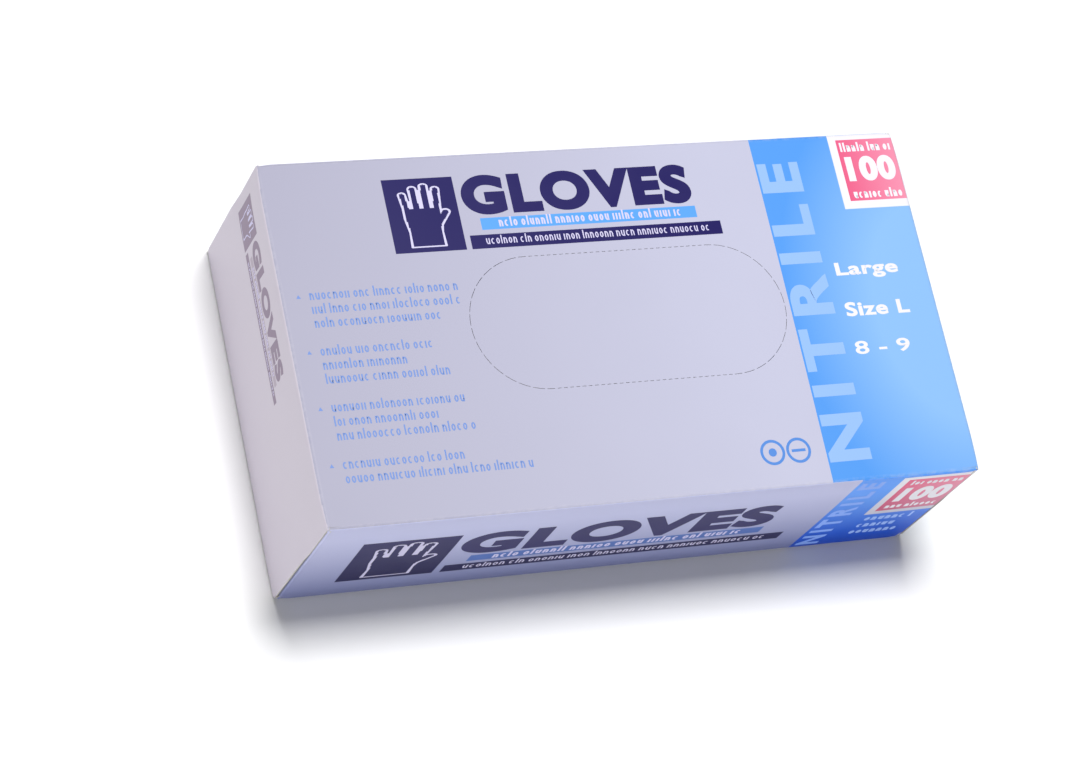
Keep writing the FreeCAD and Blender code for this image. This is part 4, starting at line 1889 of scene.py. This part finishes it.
@dataclass
class TopGlove:
    """The loose glove on top of the pile, folded over so that its cuff shows in the opening."""

    finishes: Finishes
    stack: GloveStack
    shape: GloveShape = GloveShape()
    fold_x: float = -34.0
    fold_radius: float = 0.9
    pitch: float = 1.5
    film: float = 0.5
    base: float = 61.8
    turn_deg: float = 2.5
    shift: tuple[float, float] = (3.0, 0.0)
    wall: float = 62.0
    roof: float = 68.3

    def build(self) -> None:
        """Builds the glove and lays it on the pile."""
        bm = bmesh.new()
        self.shape.cut_out(bm, self.pitch)
        face_out(bm, UP)
        area = sum(face.calc_area() for face in bm.faces) * MM * MM
        thicken(bm, self.film, 0, 0)
        place(bm.verts, self._lay)
        turned = (Matrix.Translation((self.shift[0], self.shift[1] + self.shape.side_shift, 0))
                  @ Matrix.Rotation(math.radians(self.turn_deg), 4, "Z"))
        bmesh.ops.transform(bm, matrix=turned, verts=list(bm.verts))
        place(bm.verts, self._squeeze)
        place(bm.verts, self._press_down)
        bmesh.ops.smooth_vert(bm, verts=list(bm.verts), factor=0.25, use_axis_x=False,
                              use_axis_y=False, use_axis_z=True)
        piece = finish_piece(bm, "top_glove", [self.finishes.nitrile], 75.0)
        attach(piece, self.stack.body)

    def _press_down(self, spot: Vector) -> Vector:
        """Presses what would pass the top panel back under it."""
        over = spot.z - self.roof + 2.0
        if over <= 0:
            return spot
        return Vector((spot.x, spot.y, self.roof - 2.0 * math.exp(-over / 2.0)))

    def _squeeze(self, spot: Vector) -> Vector:
        """Presses what would pass a side wall back inside it."""
        start = self.wall - 7.0
        over = abs(spot.y) - start
        if over <= 0:
            return spot
        pressed = start + 7.0 * (1 - math.exp(-over / 7.0))
        return Vector((spot.x, math.copysign(pressed, spot.y), spot.z + 0.05 * over))

    def _lay(self, spot: Vector) -> Vector:
        """Where a point of the flat glove lies once it is creased and folded over."""
        x, y = spot.x, spot.y
        bead = 0.45 if x < -self.shape.length / 2 + 1.2 else 0.0
        height = spot.z + (bead if spot.z > -self.film / 2 else -bead)
        back = self.fold_x - x
        r = self.fold_radius
        if back <= 0:
            at, lift, share = x, 0.0, 0.0
        elif back < math.pi * r:
            angle = back / r
            at = self.fold_x - (r + height) * math.sin(angle)
            lift = r - (r + height) * math.cos(angle)
            return Vector((at, y, self.base + lift + self._creases(at, y, 0.0)))
        else:
            at, lift, share = self.fold_x + back - math.pi * r, 2 * r, 1.0
            height = -height
        return Vector((at, y, self.base + lift + height + self._creases(at, y, share, x)))

    def _creases(self, at: float, y: float, upper: float, seed_x: float = 0.0) -> float:
        """How far the creased film stands up at a place.

        Args:
            at: Place along the pile.
            y: Place across it.
            upper: 1 for the part that is folded over, 0 for the part below it.
            seed_x: The same point's place on the flat glove.

        Returns:
            The rise over the pile.
        """
        shared = self.stack.crumple(at, y, 62.0)
        if upper:
            edge = min(1.0, max(0.0, (at - self.fold_x) / 12.0))
            return shared + edge * (0.2 + self._ridges(seed_x, y, 9.0))
        return shared + 0.25 * self._ridges(at, y, 2.0)

    @staticmethod
    def _ridges(x: float, y: float, seed: float) -> float:
        """Sharp, wandering folds, long, short and fine."""
        warp = 9.0 * noise.noise(Vector((x / 45, y / 38, seed)))
        total = 0.0
        for wide, narrow, height, sharp in ((30.0, 13.0, 2.3, 0.62), (11.0, 7.0, 0.8, 0.55),
                                            (4.5, 3.2, 0.18, 0.5)):
            wave = noise.noise(Vector(((x + y * 0.35 + warp) / wide, (y + warp) / narrow,
                                       seed + height)))
            crest = max(0.0, (1 - 2.2 * abs(wave) - sharp) / (1 - sharp))
            total += height * crest * crest * (3 - 2 * crest)
        return total


# Studio


@dataclass(frozen=True)
class Studio:
    """Camera, lights and floor."""

    camera_place: tuple = (-0.44799, -0.38792, 1.03980)
    camera_turn_deg: tuple = (23.5513, -18.4277, -12.4239)
    focal_length: float = 111.12
    sensor: float = 36.0
    floor_half: float = 3.0

    def build(self) -> None:
        """Sets up everything round the object."""
        self.camera()
        self.floor()
        self.lights()

    def camera(self) -> None:
        """The camera that looks down on the front left corner."""
        data = bpy.data.cameras.new("camera")
        data.lens = self.focal_length
        data.sensor_width = self.sensor
        data.clip_start = 0.05
        data.clip_end = 20.0
        camera = bpy.data.objects.new("camera", data)
        camera.location = self.camera_place
        camera.rotation_euler = Euler([math.radians(a) for a in self.camera_turn_deg])
        bpy.context.scene.collection.objects.link(camera)
        bpy.context.scene.camera = camera

    def floor(self) -> None:
        """A plain white table top."""
        bm = bmesh.new()
        bmesh.ops.create_grid(bm, x_segments=8, y_segments=8, size=self.floor_half)
        mesh = bpy.data.meshes.new("floor")
        bm.to_mesh(mesh)
        bm.free()
        material, _, shader = blank_material("floor_white")
        shader.inputs["Base Color"].default_value = (0.95, 0.95, 0.95, 1)
        shader.inputs["Roughness"].default_value = 0.7
        shader.inputs["Specular IOR Level"].default_value = 0.1
        mesh.materials.append(material)
        floor = bpy.data.objects.new("floor", mesh)
        bpy.context.scene.collection.objects.link(floor)

    def _area(self, name: str, spot: tuple, aim: tuple, size: float, power: float,
              colour: Colour = (1.0, 1.0, 1.0)) -> None:
        """Adds a square area light that looks at a point."""
        data = bpy.data.lights.new(name, "AREA")
        data.size = size
        data.energy = power
        data.color = colour
        light = bpy.data.objects.new(name, data)
        light.location = spot
        light.rotation_euler = (Vector(aim) - Vector(spot)).to_track_quat("-Z", "Y").to_euler()
        bpy.context.scene.collection.objects.link(light)

    def lights(self) -> None:
        """A key light high behind the carton, two low fills and a pale surround."""
        self._area("key", (0.0, 0.28, 1.5), (0, 0, 0), 0.4, 23.5)
        self._area("side", (-1.4, -0.2, 0.3), (0, 0, 0.03), 0.5, 6.0)
        self._area("front", (-0.1, -1.6, 0.35), (0, 0, 0.03), 0.5, 8.0)
        world = bpy.data.worlds.new("surround")
        world.use_nodes = True
        world.node_tree.nodes["Background"].inputs["Color"].default_value = (1, 1, 1, 1)
        world.node_tree.nodes["Background"].inputs["Strength"].default_value = 0.1
        bpy.context.scene.world = world
        bpy.context.scene.view_settings.view_transform = "Standard"


def main() -> None:
    """Builds the object and the studio round it."""
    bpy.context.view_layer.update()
    sizes = CartonSizes.from_frame()
    oval = OvalSizes()
    finishes = Finishes(sizes)
    Studio().build()
    CartonBody(sizes, oval, finishes).build()
    TearOutCover(sizes, oval, finishes).build()
    for end in End:
        CartonEnd(end, sizes, finishes).build()
    Artwork(sizes, finishes).build()
    stack = GloveStack(finishes)
    stack.build()
    TopGlove(finishes, stack).build()
    glue_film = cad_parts["seam_glue"]
    glue_film.data.materials.clear()
    glue_film.data.materials.append(finishes.glue)


if __name__ == "__main__":
    main()
